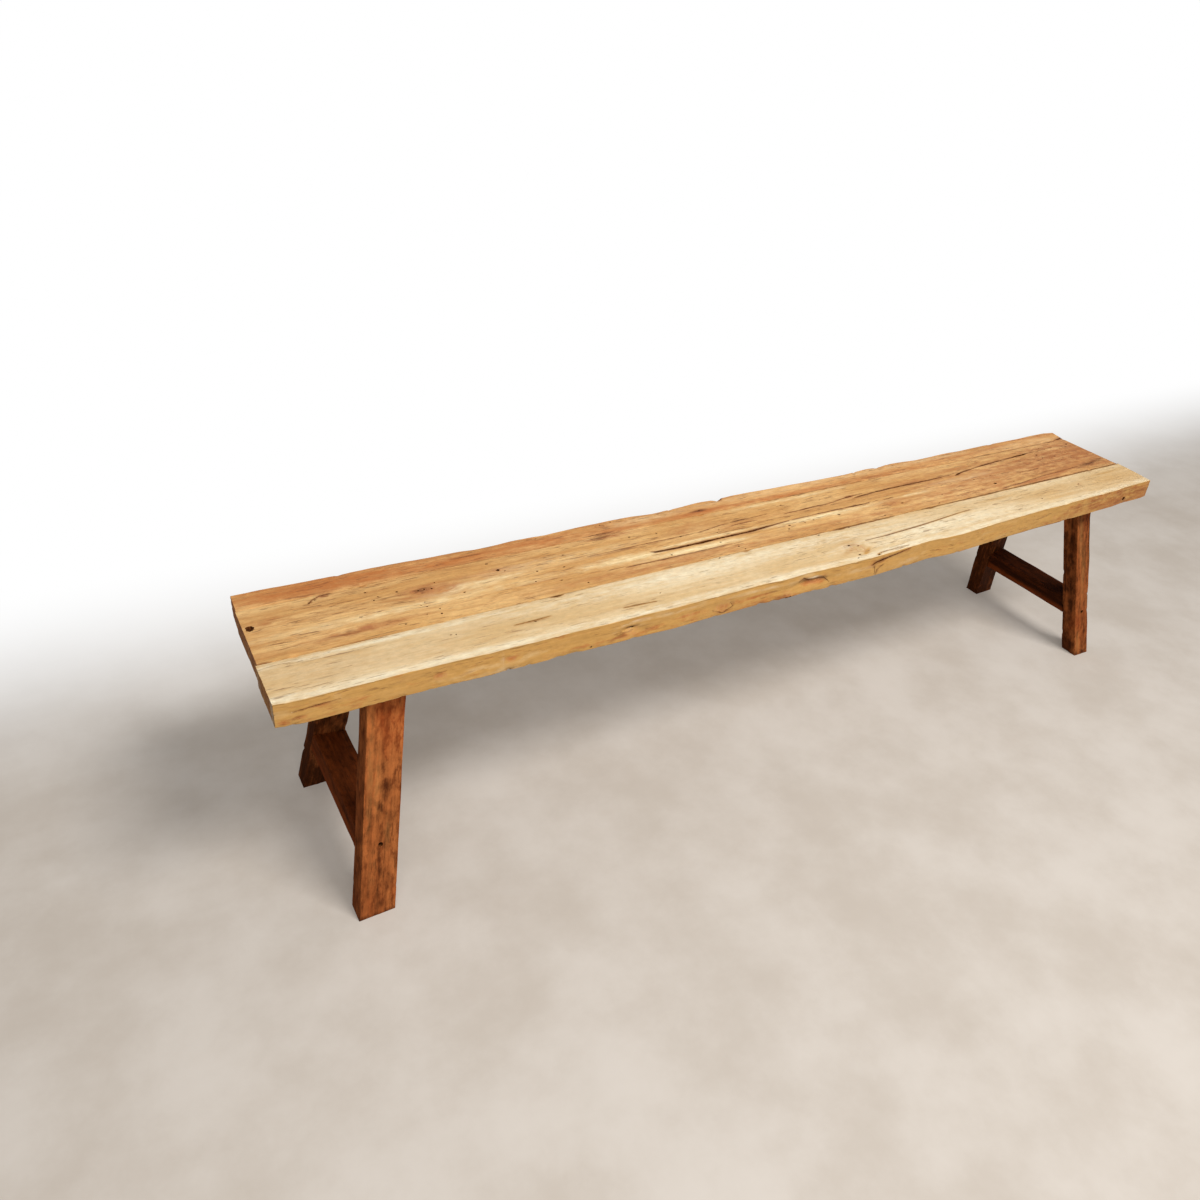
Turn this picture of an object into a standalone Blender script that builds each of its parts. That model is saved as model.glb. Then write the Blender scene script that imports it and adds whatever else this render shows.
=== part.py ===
"""Rustic bench: three edge-jointed boards carried by two A-frame trestles.

The bench stands on the floor at z = 0 with its length along X and its front at -Y. Each trestle has
two legs that splay to front and rear, a low stretcher tenoned and screwed between them, and a cleat
under the seat that takes the legs' tenons and is screwed up into the boards. The whole trestle leans,
so that its feet stand nearer the bench's end than its top does.
"""
import math

import bmesh
import bpy
from mathutils import Matrix, Vector

# Clearances
FIT_GAP = 0.0003
CUT_OVERRUN = 0.004

# Seat
TOP_LENGTH = 2.000
SEAT_HEIGHT = 0.450
BOARD_THICKNESS = 0.041
FRONT_BOARD_WIDTH = 0.1172
MIDDLE_BOARD_WIDTH = 0.153
REAR_BOARD_WIDTH = 0.0512
SEAT_FORWARD_SHIFT = 0.0065
BOARD_EDGE_ROUNDING = 0.0022
END_SETBACK = 0.021
FRONT_EDGE_WAVE = 0.022
REAR_EDGE_WAVE = 0.0115

# Trestles: the left one stands a little further in and leans less, and the right one's legs differ
LEFT_FOOT_INSET = 0.080
RIGHT_FOOT_INSET = 0.055
LEFT_LEAN = math.radians(9.1)
RIGHT_LEAN = math.radians(13.6)
LEFT_LEG_WIDTH = 0.062
RIGHT_FRONT_LEG_WIDTH = 0.045
RIGHT_REAR_LEG_WIDTH = 0.056
LEG_THICKNESS = 0.039
LEG_EDGE_ROUNDING = 0.0018
LEG_TENON_SHOULDER = 0.008
LEG_TENON_CHEEK = 0.014
LEG_TENON_SHORTFALL = 0.002

# How far out of the bench's middle a leg's outer face lies: by how much that is more than half the
# seat's width at the floor, and less than it at the cleat
LEFT_FOOT_OVERHANG = 0.030
LEFT_HEAD_INSET = 0.045
RIGHT_FRONT_FOOT_OVERHANG = 0.021
RIGHT_REAR_FOOT_OVERHANG = 0.010
RIGHT_HEAD_INSET = 0.050

# Stretchers
LEFT_STRETCHER_HEIGHT = 0.122
RIGHT_STRETCHER_HEIGHT = 0.128
LEFT_STRETCHER_THICKNESS = 0.038
RIGHT_STRETCHER_THICKNESS = 0.045
STRETCHER_FACE_INSET = 0.001
STRETCHER_EDGE_ROUNDING = 0.0015
STRETCHER_TENON_DEPTH = 0.012
STRETCHER_TENON_SHOULDER = 0.004
STRETCHER_TENON_CHEEK = 0.014

# Cleats
CLEAT_THICKNESS = 0.020
CLEAT_SIDE_MARGIN = 0.019
CLEAT_FRONT_INSET = 0.0402
CLEAT_REAR_INSET = 0.0192
CLEAT_END_BEVEL = 0.012
CLEAT_EDGE_ROUNDING = 0.001

# Screws that hold the stretchers, sunk in the legs' outer faces
LEG_SCREW_SHANK_RADIUS = 0.0025
LEG_SCREW_HEAD_RADIUS = 0.0045
LEG_SCREW_HEAD_HEIGHT = 0.0032
LEG_SCREW_BITE = 0.040
LEFT_LEG_SCREW_RISE = 0.0095
RIGHT_LEG_SCREW_DROP = 0.0085
LEG_COUNTERBORE_RADIUS = 0.0055
LEG_COUNTERBORE_DEPTH = 0.010

# Screws that hold the boards, countersunk in the cleats' undersides
CLEAT_SCREW_SHANK_RADIUS = 0.0022
CLEAT_SCREW_HEAD_RADIUS = 0.0043
CLEAT_SCREW_HEAD_HEIGHT = 0.0026
CLEAT_SCREW_RIM = 0.0004
CLEAT_SCREW_BITE = 0.024
CLEAT_SCREW_SIDE_MARGIN = 0.009
CLEAT_SCREW_END_MARGIN = 0.007

SCREW_TIP_LENGTH = 0.006
SCREW_SOCKET_SHARE = 0.45
SCREW_SOCKET_DEPTH_SHARE = 0.6
SCREW_CROWN_SHARE = 0.75
SCREW_SIDES = 24
SOCKET_SIDES = 6

# Wear of the boards
KNOT_HOLE_RADIUS = 0.006
KNOT_HOLE_DEPTH = 0.024
OPEN_CRACK_WIDTH = 0.0055
OPEN_CRACK_DEPTH = 0.014
FINE_CRACK_WIDTH = 0.0028
FINE_CRACK_DEPTH = 0.009
CRACK_BOTTOM_SHARE = 0.25

# Where each board's four corners stand back from the seat's ends, as shares of END_SETBACK:
# left front, left rear, right front, right rear
FRONT_BOARD_END_SHARES = (0.0, 0.0, 1.0, 0.5)
MIDDLE_BOARD_END_SHARES = (0.12, 0.15, 0.72, 0.66)
REAR_BOARD_END_SHARES = (0.2, 0.26, 0.62, 0.0)

# How far the front board's live edge and the rear board's worn edge fall back at their left and right ends
FRONT_CORNER_SHARES = (0.77, 1.0)
REAR_CORNER_SHARES = (0.0, 0.39)

# The live edge along the front board: place along the board and how far the edge falls back
FRONT_EDGE_SHARES = (
    (0.02, 0.555), (0.06, 0.55), (0.1, 0.545), (0.13, 0.47), (0.16, 0.34), (0.2, 0.31), (0.225, 0.32),
    (0.27, 0.215), (0.3, 0.23), (0.33, 0.115), (0.36, 0.18), (0.4, 0.175), (0.425, 0.205), (0.45, 0.06),
    (0.4725, 0.17), (0.49, 0.07), (0.525, 0.03), (0.555, 0.0), (0.585, 0.115), (0.61, 0.23), (0.63, 0.34),
    (0.65, 0.18), (0.6725, 0.09), (0.71, 0.275), (0.755, 0.445), (0.8, 0.545), (0.83, 0.535), (0.9, 0.695),
    (0.925, 0.725), (0.94, 0.885), (0.98, 0.91),
)

# The worn edge along the rear board, from its right end, with a split notch just left of the middle
REAR_EDGE_SHARES = (
    (0.97, 0.39), (0.935, 0.5), (0.9, 0.46), (0.87, 0.45), (0.83, 0.65), (0.81, 0.5), (0.785, 0.68),
    (0.76, 0.72), (0.735, 0.35), (0.7175, 0.22), (0.705, 0.6), (0.685, 0.46), (0.65, 0.74), (0.61, 0.73),
    (0.575, 0.48), (0.55, 0.46), (0.525, 0.29), (0.5, 0.22), (0.486, 0.35), (0.479, 1.0), (0.474, 0.4),
    (0.46, 0.26), (0.445, 0.43), (0.43, 0.65), (0.4, 0.85), (0.38, 0.39), (0.35, 0.29), (0.33, 0.35),
    (0.31, 0.48), (0.285, 0.71), (0.27, 0.55), (0.25, 0.52), (0.2275, 0.74), (0.2125, 0.78), (0.2, 0.43),
    (0.175, 0.37), (0.15, 0.22), (0.11, 0.13), (0.07, 0.2), (0.04, 0.04),
)

# Cracks along the middle board: place along the seat, place across the board and share of the full width
OPEN_CRACK_SHARES = (
    (0.36, 0.42, 0.0), (0.365, 0.388, 0.9), (0.395, 0.378, 1.0), (0.43, 0.375, 1.0),
    (0.47, 0.38, 0.9), (0.495, 0.41, 0.3), (0.51, 0.43, 0.0),
)
FINE_CRACK_SHARES = (
    (0.53, 0.61, 0.0), (0.57, 0.62, 0.5), (0.61, 0.66, 0.6), (0.63, 0.64, 1.0), (0.7, 0.665, 1.0),
    (0.75, 0.67, 0.6), (0.785, 0.69, 1.0), (0.84, 0.76, 0.7), (0.89, 0.79, 1.3), (0.91, 0.81, 0.0),
)
KNOT_HOLE_PLACE_SHARES = (0.0065, 0.635)

# Linear colours
FRONT_BOARD_COLOUR = (0.68, 0.47, 0.23)
MIDDLE_BOARD_COLOUR = (0.58, 0.32, 0.12)
REAR_BOARD_COLOUR = (0.50, 0.25, 0.09)
FRONT_LEG_COLOUR = (0.35, 0.125, 0.04)
REAR_LEG_COLOUR = (0.20, 0.07, 0.03)
STRETCHER_COLOUR = (0.21, 0.075, 0.03)
CLEAT_COLOUR = (0.24, 0.11, 0.05)
STEEL_COLOUR = (0.08, 0.075, 0.07)

# What follows from the sizes above
TOP_WIDTH = FRONT_BOARD_WIDTH + MIDDLE_BOARD_WIDTH + REAR_BOARD_WIDTH + 2 * FIT_GAP
FRONT_EDGE_Y = -TOP_WIDTH / 2 - SEAT_FORWARD_SHIFT
FRONT_SEAM_Y = FRONT_EDGE_Y + FRONT_BOARD_WIDTH
MIDDLE_FRONT_Y = FRONT_SEAM_Y + FIT_GAP
MIDDLE_REAR_Y = MIDDLE_FRONT_Y + MIDDLE_BOARD_WIDTH
REAR_SEAM_Y = MIDDLE_REAR_Y + FIT_GAP
REAR_EDGE_Y = TOP_WIDTH / 2 - SEAT_FORWARD_SHIFT
UNDERSIDE_Z = SEAT_HEIGHT - BOARD_THICKNESS
CLEAT_TOP_Z = UNDERSIDE_Z - FIT_GAP
CLEAT_BOTTOM_Z = CLEAT_TOP_Z - CLEAT_THICKNESS
LEG_TOP_Z = CLEAT_BOTTOM_Z - FIT_GAP
CLEAT_FRONT_Y = FRONT_EDGE_Y + CLEAT_FRONT_INSET
CLEAT_REAR_Y = REAR_EDGE_Y - CLEAT_REAR_INSET
LEFT_FOOT_REACH = TOP_WIDTH / 2 + LEFT_FOOT_OVERHANG
LEFT_HEAD_REACH = TOP_WIDTH / 2 - LEFT_HEAD_INSET
RIGHT_FRONT_FOOT_REACH = TOP_WIDTH / 2 + RIGHT_FRONT_FOOT_OVERHANG
RIGHT_REAR_FOOT_REACH = TOP_WIDTH / 2 + RIGHT_REAR_FOOT_OVERHANG
RIGHT_HEAD_REACH = TOP_WIDTH / 2 - RIGHT_HEAD_INSET


def clear_scene():
    for item in list(bpy.data.objects):
        bpy.data.objects.remove(item, do_unlink=True)


def make_material(name, colour, roughness, metallic=0.0):
    material = bpy.data.materials.new(name)
    material.use_nodes = True
    shader = material.node_tree.nodes["Principled BSDF"]
    shader.inputs["Base Color"].default_value = (*colour, 1.0)
    shader.inputs["Roughness"].default_value = roughness
    shader.inputs["Metallic"].default_value = metallic
    material.diffuse_color = (*colour, 1.0)
    return material


def make_group(name, place):
    """An empty that carries the pieces of one assembly."""
    group = bpy.data.objects.new(name, None)
    group.location = place
    bpy.context.collection.objects.link(group)
    return group


def make_object(name, bm, origin, group=None, material=None):
    """An object from world-space geometry, with its own origin and its group as parent."""
    bmesh.ops.recalc_face_normals(bm, faces=bm.faces)
    bm.transform(Matrix.Translation(-origin))
    mesh = bpy.data.meshes.new(name)
    bm.to_mesh(mesh)
    bm.free()
    item = bpy.data.objects.new(name, mesh)
    bpy.context.collection.objects.link(item)
    item.location = origin - (group.location if group else Vector())
    item.parent = group
    if material:
        mesh.materials.append(material)
    return item


def make_cutter(name, bm, origin, group=None):
    cutter = make_object(name, bm, origin, group)
    cutter.hide_render = True
    cutter.display_type = "WIRE"
    return cutter


def join_to(item, tool):
    modifier = item.modifiers.new(tool.name, "BOOLEAN")
    modifier.operation = "UNION"
    modifier.solver = "EXACT"
    modifier.object = tool


def cut_away(item, cutters):
    """Takes all the cutters out of an item at once, so that no cut leaves edges for the next to meet."""
    cuts = bpy.data.collections.new(item.name + "_cuts")
    for cutter in cutters:
        cuts.objects.link(cutter)
    modifier = item.modifiers.new(cuts.name, "BOOLEAN")
    modifier.operation = "DIFFERENCE"
    modifier.solver = "EXACT"
    modifier.operand_type = "COLLECTION"
    modifier.collection = cuts


def add_bevel(item, width, segments=2):
    modifier = item.modifiers.new("worn edges", "BEVEL")
    modifier.width = width
    modifier.segments = segments
    modifier.limit_method = "ANGLE"
    modifier.angle_limit = math.radians(30)


def loft(lower, upper):
    """A closed solid between two loops with as many points each."""
    bm = bmesh.new()
    bottom = [bm.verts.new(point) for point in lower]
    top = [bm.verts.new(point) for point in upper]
    bm.faces.new(bottom)
    bm.faces.new(top)
    count = len(bottom)
    for i in range(count):
        j = (i + 1) % count
        bm.faces.new((bottom[i], bottom[j], top[j], top[i]))
    return bm


def triangulated(bm):
    bmesh.ops.triangulate(bm, faces=bm.faces)
    return bm


def slab(outline, bottom_z, top_z):
    lower = [(x, y, bottom_z) for x, y in outline]
    upper = [(x, y, top_z) for x, y in outline]
    return loft(lower, upper)


def polygon_radius(radius, sides, angle):
    """Distance to the side of a regular polygon with corners at this radius."""
    half = math.pi / sides
    return radius * math.cos(half) / math.cos(angle % (2 * half) - half)


def lathe(rings, frame):
    """A closed turned solid from rings of (radius, height, polygon sides or 0); both ends lie on its axis."""
    bm = bmesh.new()
    loops = []
    for radius, height, sides in rings:
        if radius == 0:
            loops.append([bm.verts.new((0, 0, height))])
            continue
        loop = []
        for i in range(SCREW_SIDES):
            angle = 2 * math.pi * i / SCREW_SIDES
            reach = polygon_radius(radius, sides, angle) if sides else radius
            loop.append(bm.verts.new((reach * math.cos(angle), reach * math.sin(angle), height)))
        loops.append(loop)
    for first, second in zip(loops, loops[1:]):
        for i in range(SCREW_SIDES):
            j = (i + 1) % SCREW_SIDES
            places = ((first, i), (first, j), (second, j), (second, i))
            corners = [loop[k % len(loop)] for loop, k in places]
            bm.faces.new(list(dict.fromkeys(corners)))
    bm.transform(frame)
    return bm


def axis_frame(start, direction):
    """A frame whose origin is at the start and whose Z axis runs along the direction."""
    return Matrix.Translation(start) @ direction.to_track_quat("Z", "Y").to_matrix().to_4x4()


def round_cutter(name, start, end, radius, group=None):
    run = end - start
    rings = ((0, 0, 0), (radius, 0, 0), (radius, run.length, 0), (0, run.length, 0))
    return make_cutter(name, lathe(rings, axis_frame(start, run)), start, group)


def shade_round(item):
    item.data.shade_smooth()
    item.data.set_sharp_from_angle(angle=math.radians(35))


def seat_x(share):
    return (share - 0.5) * TOP_LENGTH


def middle_board_y(share):
    return MIDDLE_FRONT_Y + share * MIDDLE_BOARD_WIDTH


def crack_cutter(name, places, width, depth, group):
    """A ragged groove in the middle board's top, wide at the surface and narrow at its bottom."""
    centres = [Vector((seat_x(along), middle_board_y(across))) for along, across, _ in places]
    halves = [share * width / 2 for _, _, share in places]

    def loop(scale, z):
        ahead = [(c.x, c.y + h * scale, z) for c, h in zip(centres, halves)]
        back = [(c.x, c.y - h * scale, z) for c, h in zip(centres[-2:0:-1], halves[-2:0:-1])]
        return ahead + back

    bottom = loop(CRACK_BOTTOM_SHARE, SEAT_HEIGHT - depth)
    mouth = loop(1.0, SEAT_HEIGHT + CUT_OVERRUN)
    middle = sum(centres, Vector((0, 0))) / len(centres)
    origin = Vector((middle.x, middle.y, SEAT_HEIGHT))
    return make_cutter(name, triangulated(loft(bottom, mouth)), origin, group)


def board_outline(front_y, rear_y, end_shares, front_wave=(), rear_wave=()):
    """A board's plan, anticlockwise from its left front corner."""
    left_front, left_rear, right_front, right_rear = (END_SETBACK * share for share in end_shares)
    half = TOP_LENGTH / 2
    front_corners = FRONT_CORNER_SHARES if front_wave else (0.0, 0.0)
    rear_corners = REAR_CORNER_SHARES if rear_wave else (0.0, 0.0)
    front_left_y, front_right_y = (front_y + FRONT_EDGE_WAVE * back for back in front_corners)
    rear_left_y, rear_right_y = (rear_y - REAR_EDGE_WAVE * back for back in rear_corners)
    outline = [(-half + left_front, front_left_y)]
    outline += [(seat_x(along), front_y + FRONT_EDGE_WAVE * back) for along, back in front_wave]
    outline += [(half - right_front, front_right_y), (half - right_rear, rear_right_y)]
    outline += [(seat_x(along), rear_y - REAR_EDGE_WAVE * back) for along, back in rear_wave]
    outline.append((-half + left_rear, rear_left_y))
    return outline


def make_board(name, outline, colour, group):
    ys = [y for _, y in outline]
    origin = Vector((0, (min(ys) + max(ys)) / 2, UNDERSIDE_Z))
    bm = slab(outline, UNDERSIDE_Z, SEAT_HEIGHT)
    board = make_object(name, bm, origin, group, make_material(name, colour, 0.6))
    add_bevel(board, BOARD_EDGE_ROUNDING)
    return board


def make_seat():
    """The three boards, and the wear that is cut into the middle one's top."""
    group = make_group("seat", Vector((0, 0, UNDERSIDE_Z)))
    front = make_board(
        "board_front",
        board_outline(FRONT_EDGE_Y, FRONT_SEAM_Y, FRONT_BOARD_END_SHARES, front_wave=FRONT_EDGE_SHARES),
        FRONT_BOARD_COLOUR,
        group,
    )
    middle = make_board(
        "board_middle",
        board_outline(MIDDLE_FRONT_Y, MIDDLE_REAR_Y, MIDDLE_BOARD_END_SHARES),
        MIDDLE_BOARD_COLOUR,
        group,
    )
    rear = make_board(
        "board_rear",
        board_outline(REAR_SEAM_Y, REAR_EDGE_Y, REAR_BOARD_END_SHARES, rear_wave=REAR_EDGE_SHARES),
        REAR_BOARD_COLOUR,
        group,
    )
    open_crack = crack_cutter("open_crack_cut", OPEN_CRACK_SHARES, OPEN_CRACK_WIDTH, OPEN_CRACK_DEPTH, group)
    fine_crack = crack_cutter("fine_crack_cut", FINE_CRACK_SHARES, FINE_CRACK_WIDTH, FINE_CRACK_DEPTH, group)
    along, across = KNOT_HOLE_PLACE_SHARES
    mouth = Vector((seat_x(along), middle_board_y(across), SEAT_HEIGHT + CUT_OVERRUN))
    floor = mouth - Vector((0, 0, CUT_OVERRUN + KNOT_HOLE_DEPTH))
    knot_hole = round_cutter("knot_hole_cut", floor, mouth, KNOT_HOLE_RADIUS, group)
    boards = {"front": front, "middle": middle, "rear": rear}
    cutters = {"front": [], "middle": [open_crack, fine_crack, knot_hole], "rear": []}
    return boards, cutters


class Trestle:
    """One A-frame, worked out in its own leaning plane.

    In that plane n is the distance outward from the frame's middle, y runs to the bench's rear
    and s runs up along the frame from the floor.
    """

    def __init__(self, label, side, foot_inset, lean, leg_widths, foot_reaches, head_reach, rail, screw_drop):
        """Pairs name the front leg first. The rail is the stretcher's height and thickness."""
        self.label = label
        self.side = side
        self.lean = lean
        self.leg_width = max(leg_widths)
        self.head_reach = head_reach
        self.floor_reach = TOP_LENGTH / 2 - foot_inset - self.leg_width / 2 / math.cos(lean)
        self.group = make_group("trestle_" + label, self.point(0, 0, 0))
        self.front = Leg(self, "front", -1, leg_widths[0], foot_reaches[0])
        self.rear = Leg(self, "rear", 1, leg_widths[1], foot_reaches[1])
        rail_height, rail_thickness = rail
        self.rail_s = rail_height / math.cos(lean)
        self.rail_half_height = rail_thickness / 2
        self.rail_half_width = min(leg_widths) / 2 - STRETCHER_FACE_INSET
        self.screw_s = self.rail_s - screw_drop

    def point(self, n, y, s):
        out = self.floor_reach + n * math.cos(self.lean) - s * math.sin(self.lean)
        up = s * math.cos(self.lean) + n * math.sin(self.lean)
        return Vector((self.side * out, y, up))

    def height_to_s(self, n, z):
        return (z - n * math.sin(self.lean)) / math.cos(self.lean)

    def rail_loop(self, end, y_at, half_width, half_height):
        """A rail's end section, where y_at gives how far from the bench's middle it lies at each s."""
        corners = ((-1, -1), (1, -1), (1, 1), (-1, 1))
        loop = []
        for across, up in corners:
            s = self.rail_s + up * half_height
            loop.append(self.point(across * half_width, end * y_at(s), s))
        return loop

    def middle_at(self, z):
        """The x of the frame's middle plane at height z."""
        return self.point(0, 0, self.height_to_s(0, z)).x


class Leg:
    """One leg's measures. Each y here is a distance from the bench's middle line."""

    def __init__(self, trestle, end_name, end, width, foot_reach):
        self.trestle = trestle
        self.name = end_name + "_" + trestle.label
        self.end = end
        self.width = width
        self.foot_reach = foot_reach
        self.slope = (foot_reach - trestle.head_reach) * math.cos(trestle.lean) / LEG_TOP_Z
        self.slant = math.hypot(1, self.slope)

    def outer_y(self, s):
        return self.foot_reach - s * self.slope

    def inner_y(self, s):
        return self.outer_y(s) - LEG_THICKNESS * self.slant

    def shoulder_y(self, s):
        """Where the stretcher's shoulder ends, just clear of the leg's inner face."""
        return self.inner_y(s) - FIT_GAP * self.slant

    def tenon_end_y(self):
        return self.inner_y(self.trestle.rail_s) + STRETCHER_TENON_DEPTH

    def counterbore_floor_y(self):
        return self.outer_y(self.trestle.screw_s) - LEG_COUNTERBORE_DEPTH

    def screw_tip_y(self):
        return self.inner_y(self.trestle.screw_s) - LEG_SCREW_BITE

    def screw_point(self, y):
        """The place on the leg screw's axis at this distance from the bench's middle line."""
        return self.trestle.point(0, self.end * y, self.trestle.screw_s)

    def level_loop(self, z, cheek=0.0, shoulder=0.0):
        """The leg's section at height z, drawn in by a cheek on its sides and a shoulder on its faces."""
        half = self.width / 2 - cheek
        loop = []
        for n, outer in ((-half, False), (half, False), (half, True), (-half, True)):
            s = self.trestle.height_to_s(n, z)
            y = self.outer_y(s) - shoulder if outer else self.inner_y(s) + shoulder
            loop.append(self.trestle.point(n, self.end * y, s))
        return loop


def make_leg(leg, colour):
    trestle = leg.trestle
    name = "leg_" + leg.name
    origin = trestle.point(0, leg.end * (leg.outer_y(0) + leg.inner_y(0)) / 2, 0)
    bm = loft(leg.level_loop(0), leg.level_loop(LEG_TOP_Z))
    item = make_object(name, bm, origin, trestle.group, make_material(name, colour, 0.55))
    add_bevel(item, LEG_EDGE_ROUNDING)
    tenon = loft(
        leg.level_loop(LEG_TOP_Z - CUT_OVERRUN, LEG_TENON_CHEEK, LEG_TENON_SHOULDER),
        leg.level_loop(CLEAT_TOP_Z - LEG_TENON_SHORTFALL, LEG_TENON_CHEEK, LEG_TENON_SHOULDER),
    )
    join_to(item, make_cutter(name + "_tenon", tenon, origin, trestle.group))
    cut_away(item, [stretcher_mortise_cutter(leg, name, origin), leg_screw_cutter(leg, name)])


def stretcher_mortise_cutter(leg, name, origin):
    trestle = leg.trestle
    half_width = trestle.rail_half_width - STRETCHER_TENON_CHEEK + FIT_GAP
    half_height = trestle.rail_half_height - STRETCHER_TENON_SHOULDER + FIT_GAP
    floor_y = leg.tenon_end_y() + FIT_GAP
    mortise = loft(
        trestle.rail_loop(leg.end, lambda s: leg.inner_y(s) - CUT_OVERRUN, half_width, half_height),
        trestle.rail_loop(leg.end, lambda s: floor_y, half_width, half_height),
    )
    return make_cutter(name + "_mortise", mortise, origin, trestle.group)


def leg_screw_cutter(leg, name):
    """The counterbore from a leg's outer face, and the bore from its floor into the stretcher's mortise."""
    floor_y = leg.counterbore_floor_y()
    bore_depth = floor_y - leg.tenon_end_y() + CUT_OVERRUN / 2
    counterbore_depth = leg.outer_y(leg.trestle.screw_s) + CUT_OVERRUN - floor_y
    bore_radius = LEG_SCREW_SHANK_RADIUS + FIT_GAP
    rings = (
        (0, -bore_depth, 0),
        (bore_radius, -bore_depth, 0),
        (bore_radius, 0, 0),
        (LEG_COUNTERBORE_RADIUS, 0, 0),
        (LEG_COUNTERBORE_RADIUS, counterbore_depth, 0),
        (0, counterbore_depth, 0),
    )
    floor = leg.screw_point(floor_y)
    bm = lathe(rings, axis_frame(floor, Vector((0, leg.end, 0))))
    return make_cutter(name + "_screw_hole", bm, floor, leg.trestle.group)


def make_stretcher(trestle, colour):
    name = "stretcher_" + trestle.label
    origin = trestle.point(0, 0, trestle.rail_s)
    half_width = trestle.rail_half_width
    half_height = trestle.rail_half_height
    rail = loft(
        trestle.rail_loop(-1, trestle.front.shoulder_y, half_width, half_height),
        trestle.rail_loop(1, trestle.rear.shoulder_y, half_width, half_height),
    )
    stretcher = make_object(name, rail, origin, trestle.group, make_material(name, colour, 0.6))
    add_bevel(stretcher, STRETCHER_EDGE_ROUNDING)
    tenon_width = half_width - STRETCHER_TENON_CHEEK
    tenon_height = half_height - STRETCHER_TENON_SHOULDER
    tenons = loft(
        trestle.rail_loop(-1, lambda s: trestle.front.tenon_end_y(), tenon_width, tenon_height),
        trestle.rail_loop(1, lambda s: trestle.rear.tenon_end_y(), tenon_width, tenon_height),
    )
    join_to(stretcher, make_cutter(name + "_tenons", tenons, origin, trestle.group))
    pilots = []
    for leg in (trestle.front, trestle.rear):
        outside = leg.screw_point(leg.tenon_end_y() + CUT_OVERRUN)
        floor = leg.screw_point(leg.screw_tip_y() - FIT_GAP)
        radius = LEG_SCREW_SHANK_RADIUS + FIT_GAP
        pilots.append(round_cutter(name + "_pilot_" + leg.name, floor, outside, radius, trestle.group))
    cut_away(stretcher, pilots)
    return stretcher


def make_leg_screw(leg, material):
    """A pan-head screw through a leg into the stretcher's end, with its head at the counterbore's floor."""
    seat_y = leg.counterbore_floor_y() + FIT_GAP
    length = seat_y - leg.screw_tip_y()
    head = LEG_SCREW_HEAD_RADIUS
    rings = (
        (0, LEG_SCREW_HEAD_HEIGHT * (1 - SCREW_SOCKET_DEPTH_SHARE), 0),
        (head * SCREW_SOCKET_SHARE, LEG_SCREW_HEAD_HEIGHT * (1 - SCREW_SOCKET_DEPTH_SHARE), SOCKET_SIDES),
        (head * SCREW_SOCKET_SHARE, LEG_SCREW_HEAD_HEIGHT, SOCKET_SIDES),
        (head * SCREW_CROWN_SHARE, LEG_SCREW_HEAD_HEIGHT, 0),
        (head, LEG_SCREW_HEAD_HEIGHT * SCREW_SOCKET_DEPTH_SHARE, 0),
        (head, 0, 0),
        (LEG_SCREW_SHANK_RADIUS, 0, 0),
        (LEG_SCREW_SHANK_RADIUS, SCREW_TIP_LENGTH - length, 0),
        (0, -length, 0),
    )
    seat = leg.screw_point(seat_y)
    bm = lathe(rings, axis_frame(seat, Vector((0, leg.end, 0))))
    screw = make_object("screw_stretcher_" + leg.name, bm, seat, leg.trestle.group, material)
    shade_round(screw)
    return screw


def make_cleat(trestle, colour):
    """A cleat, and the cutters of its two mortises."""
    name = "cleat_" + trestle.label
    middle_x = trestle.middle_at(CLEAT_BOTTOM_Z)
    half_width = cleat_half_width(trestle)
    bevel_z = CLEAT_BOTTOM_Z + CLEAT_END_BEVEL
    profile = (
        (CLEAT_FRONT_Y, CLEAT_TOP_Z), (CLEAT_FRONT_Y, bevel_z),
        (CLEAT_FRONT_Y + CLEAT_END_BEVEL, CLEAT_BOTTOM_Z), (CLEAT_REAR_Y - CLEAT_END_BEVEL, CLEAT_BOTTOM_Z),
        (CLEAT_REAR_Y, bevel_z), (CLEAT_REAR_Y, CLEAT_TOP_Z),
    )
    bm = loft(
        [(middle_x - half_width, y, z) for y, z in profile],
        [(middle_x + half_width, y, z) for y, z in profile],
    )
    origin = Vector((middle_x, 0, CLEAT_TOP_Z))
    cleat = make_object(name, bm, origin, trestle.group, make_material(name, colour, 0.65))
    add_bevel(cleat, CLEAT_EDGE_ROUNDING, segments=1)
    mortises = []
    for leg in (trestle.front, trestle.rear):
        cheek = LEG_TENON_CHEEK - FIT_GAP
        shoulder = LEG_TENON_SHOULDER - FIT_GAP
        mortise = loft(
            leg.level_loop(CLEAT_BOTTOM_Z - CUT_OVERRUN, cheek, shoulder),
            leg.level_loop(CLEAT_TOP_Z + CUT_OVERRUN, cheek, shoulder),
        )
        mortises.append(make_cutter(name + "_mortise_" + leg.name, mortise, origin, trestle.group))
    return cleat, mortises


def cleat_half_width(trestle):
    return trestle.leg_width / 2 / math.cos(trestle.lean) + CLEAT_SIDE_MARGIN


def cleat_screw_places(trestle):
    """Each cleat screw's place in plan, with the board that it bites and its side of the leg."""
    offset = trestle.leg_width / 2 / math.cos(trestle.lean) + CLEAT_SCREW_SIDE_MARGIN
    end_margin = CLEAT_END_BEVEL + CLEAT_SCREW_END_MARGIN
    rows = (
        ("front", CLEAT_FRONT_Y + end_margin),
        ("middle", middle_board_y(0.5)),
        ("rear", CLEAT_REAR_Y - end_margin),
    )
    places = []
    for board_name, y in rows:
        for side_name, side in (("inner", -1), ("outer", 1)):
            x = trestle.middle_at(CLEAT_BOTTOM_Z) + trestle.side * side * offset
            places.append((board_name, side_name, x, y))
    return places


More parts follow.
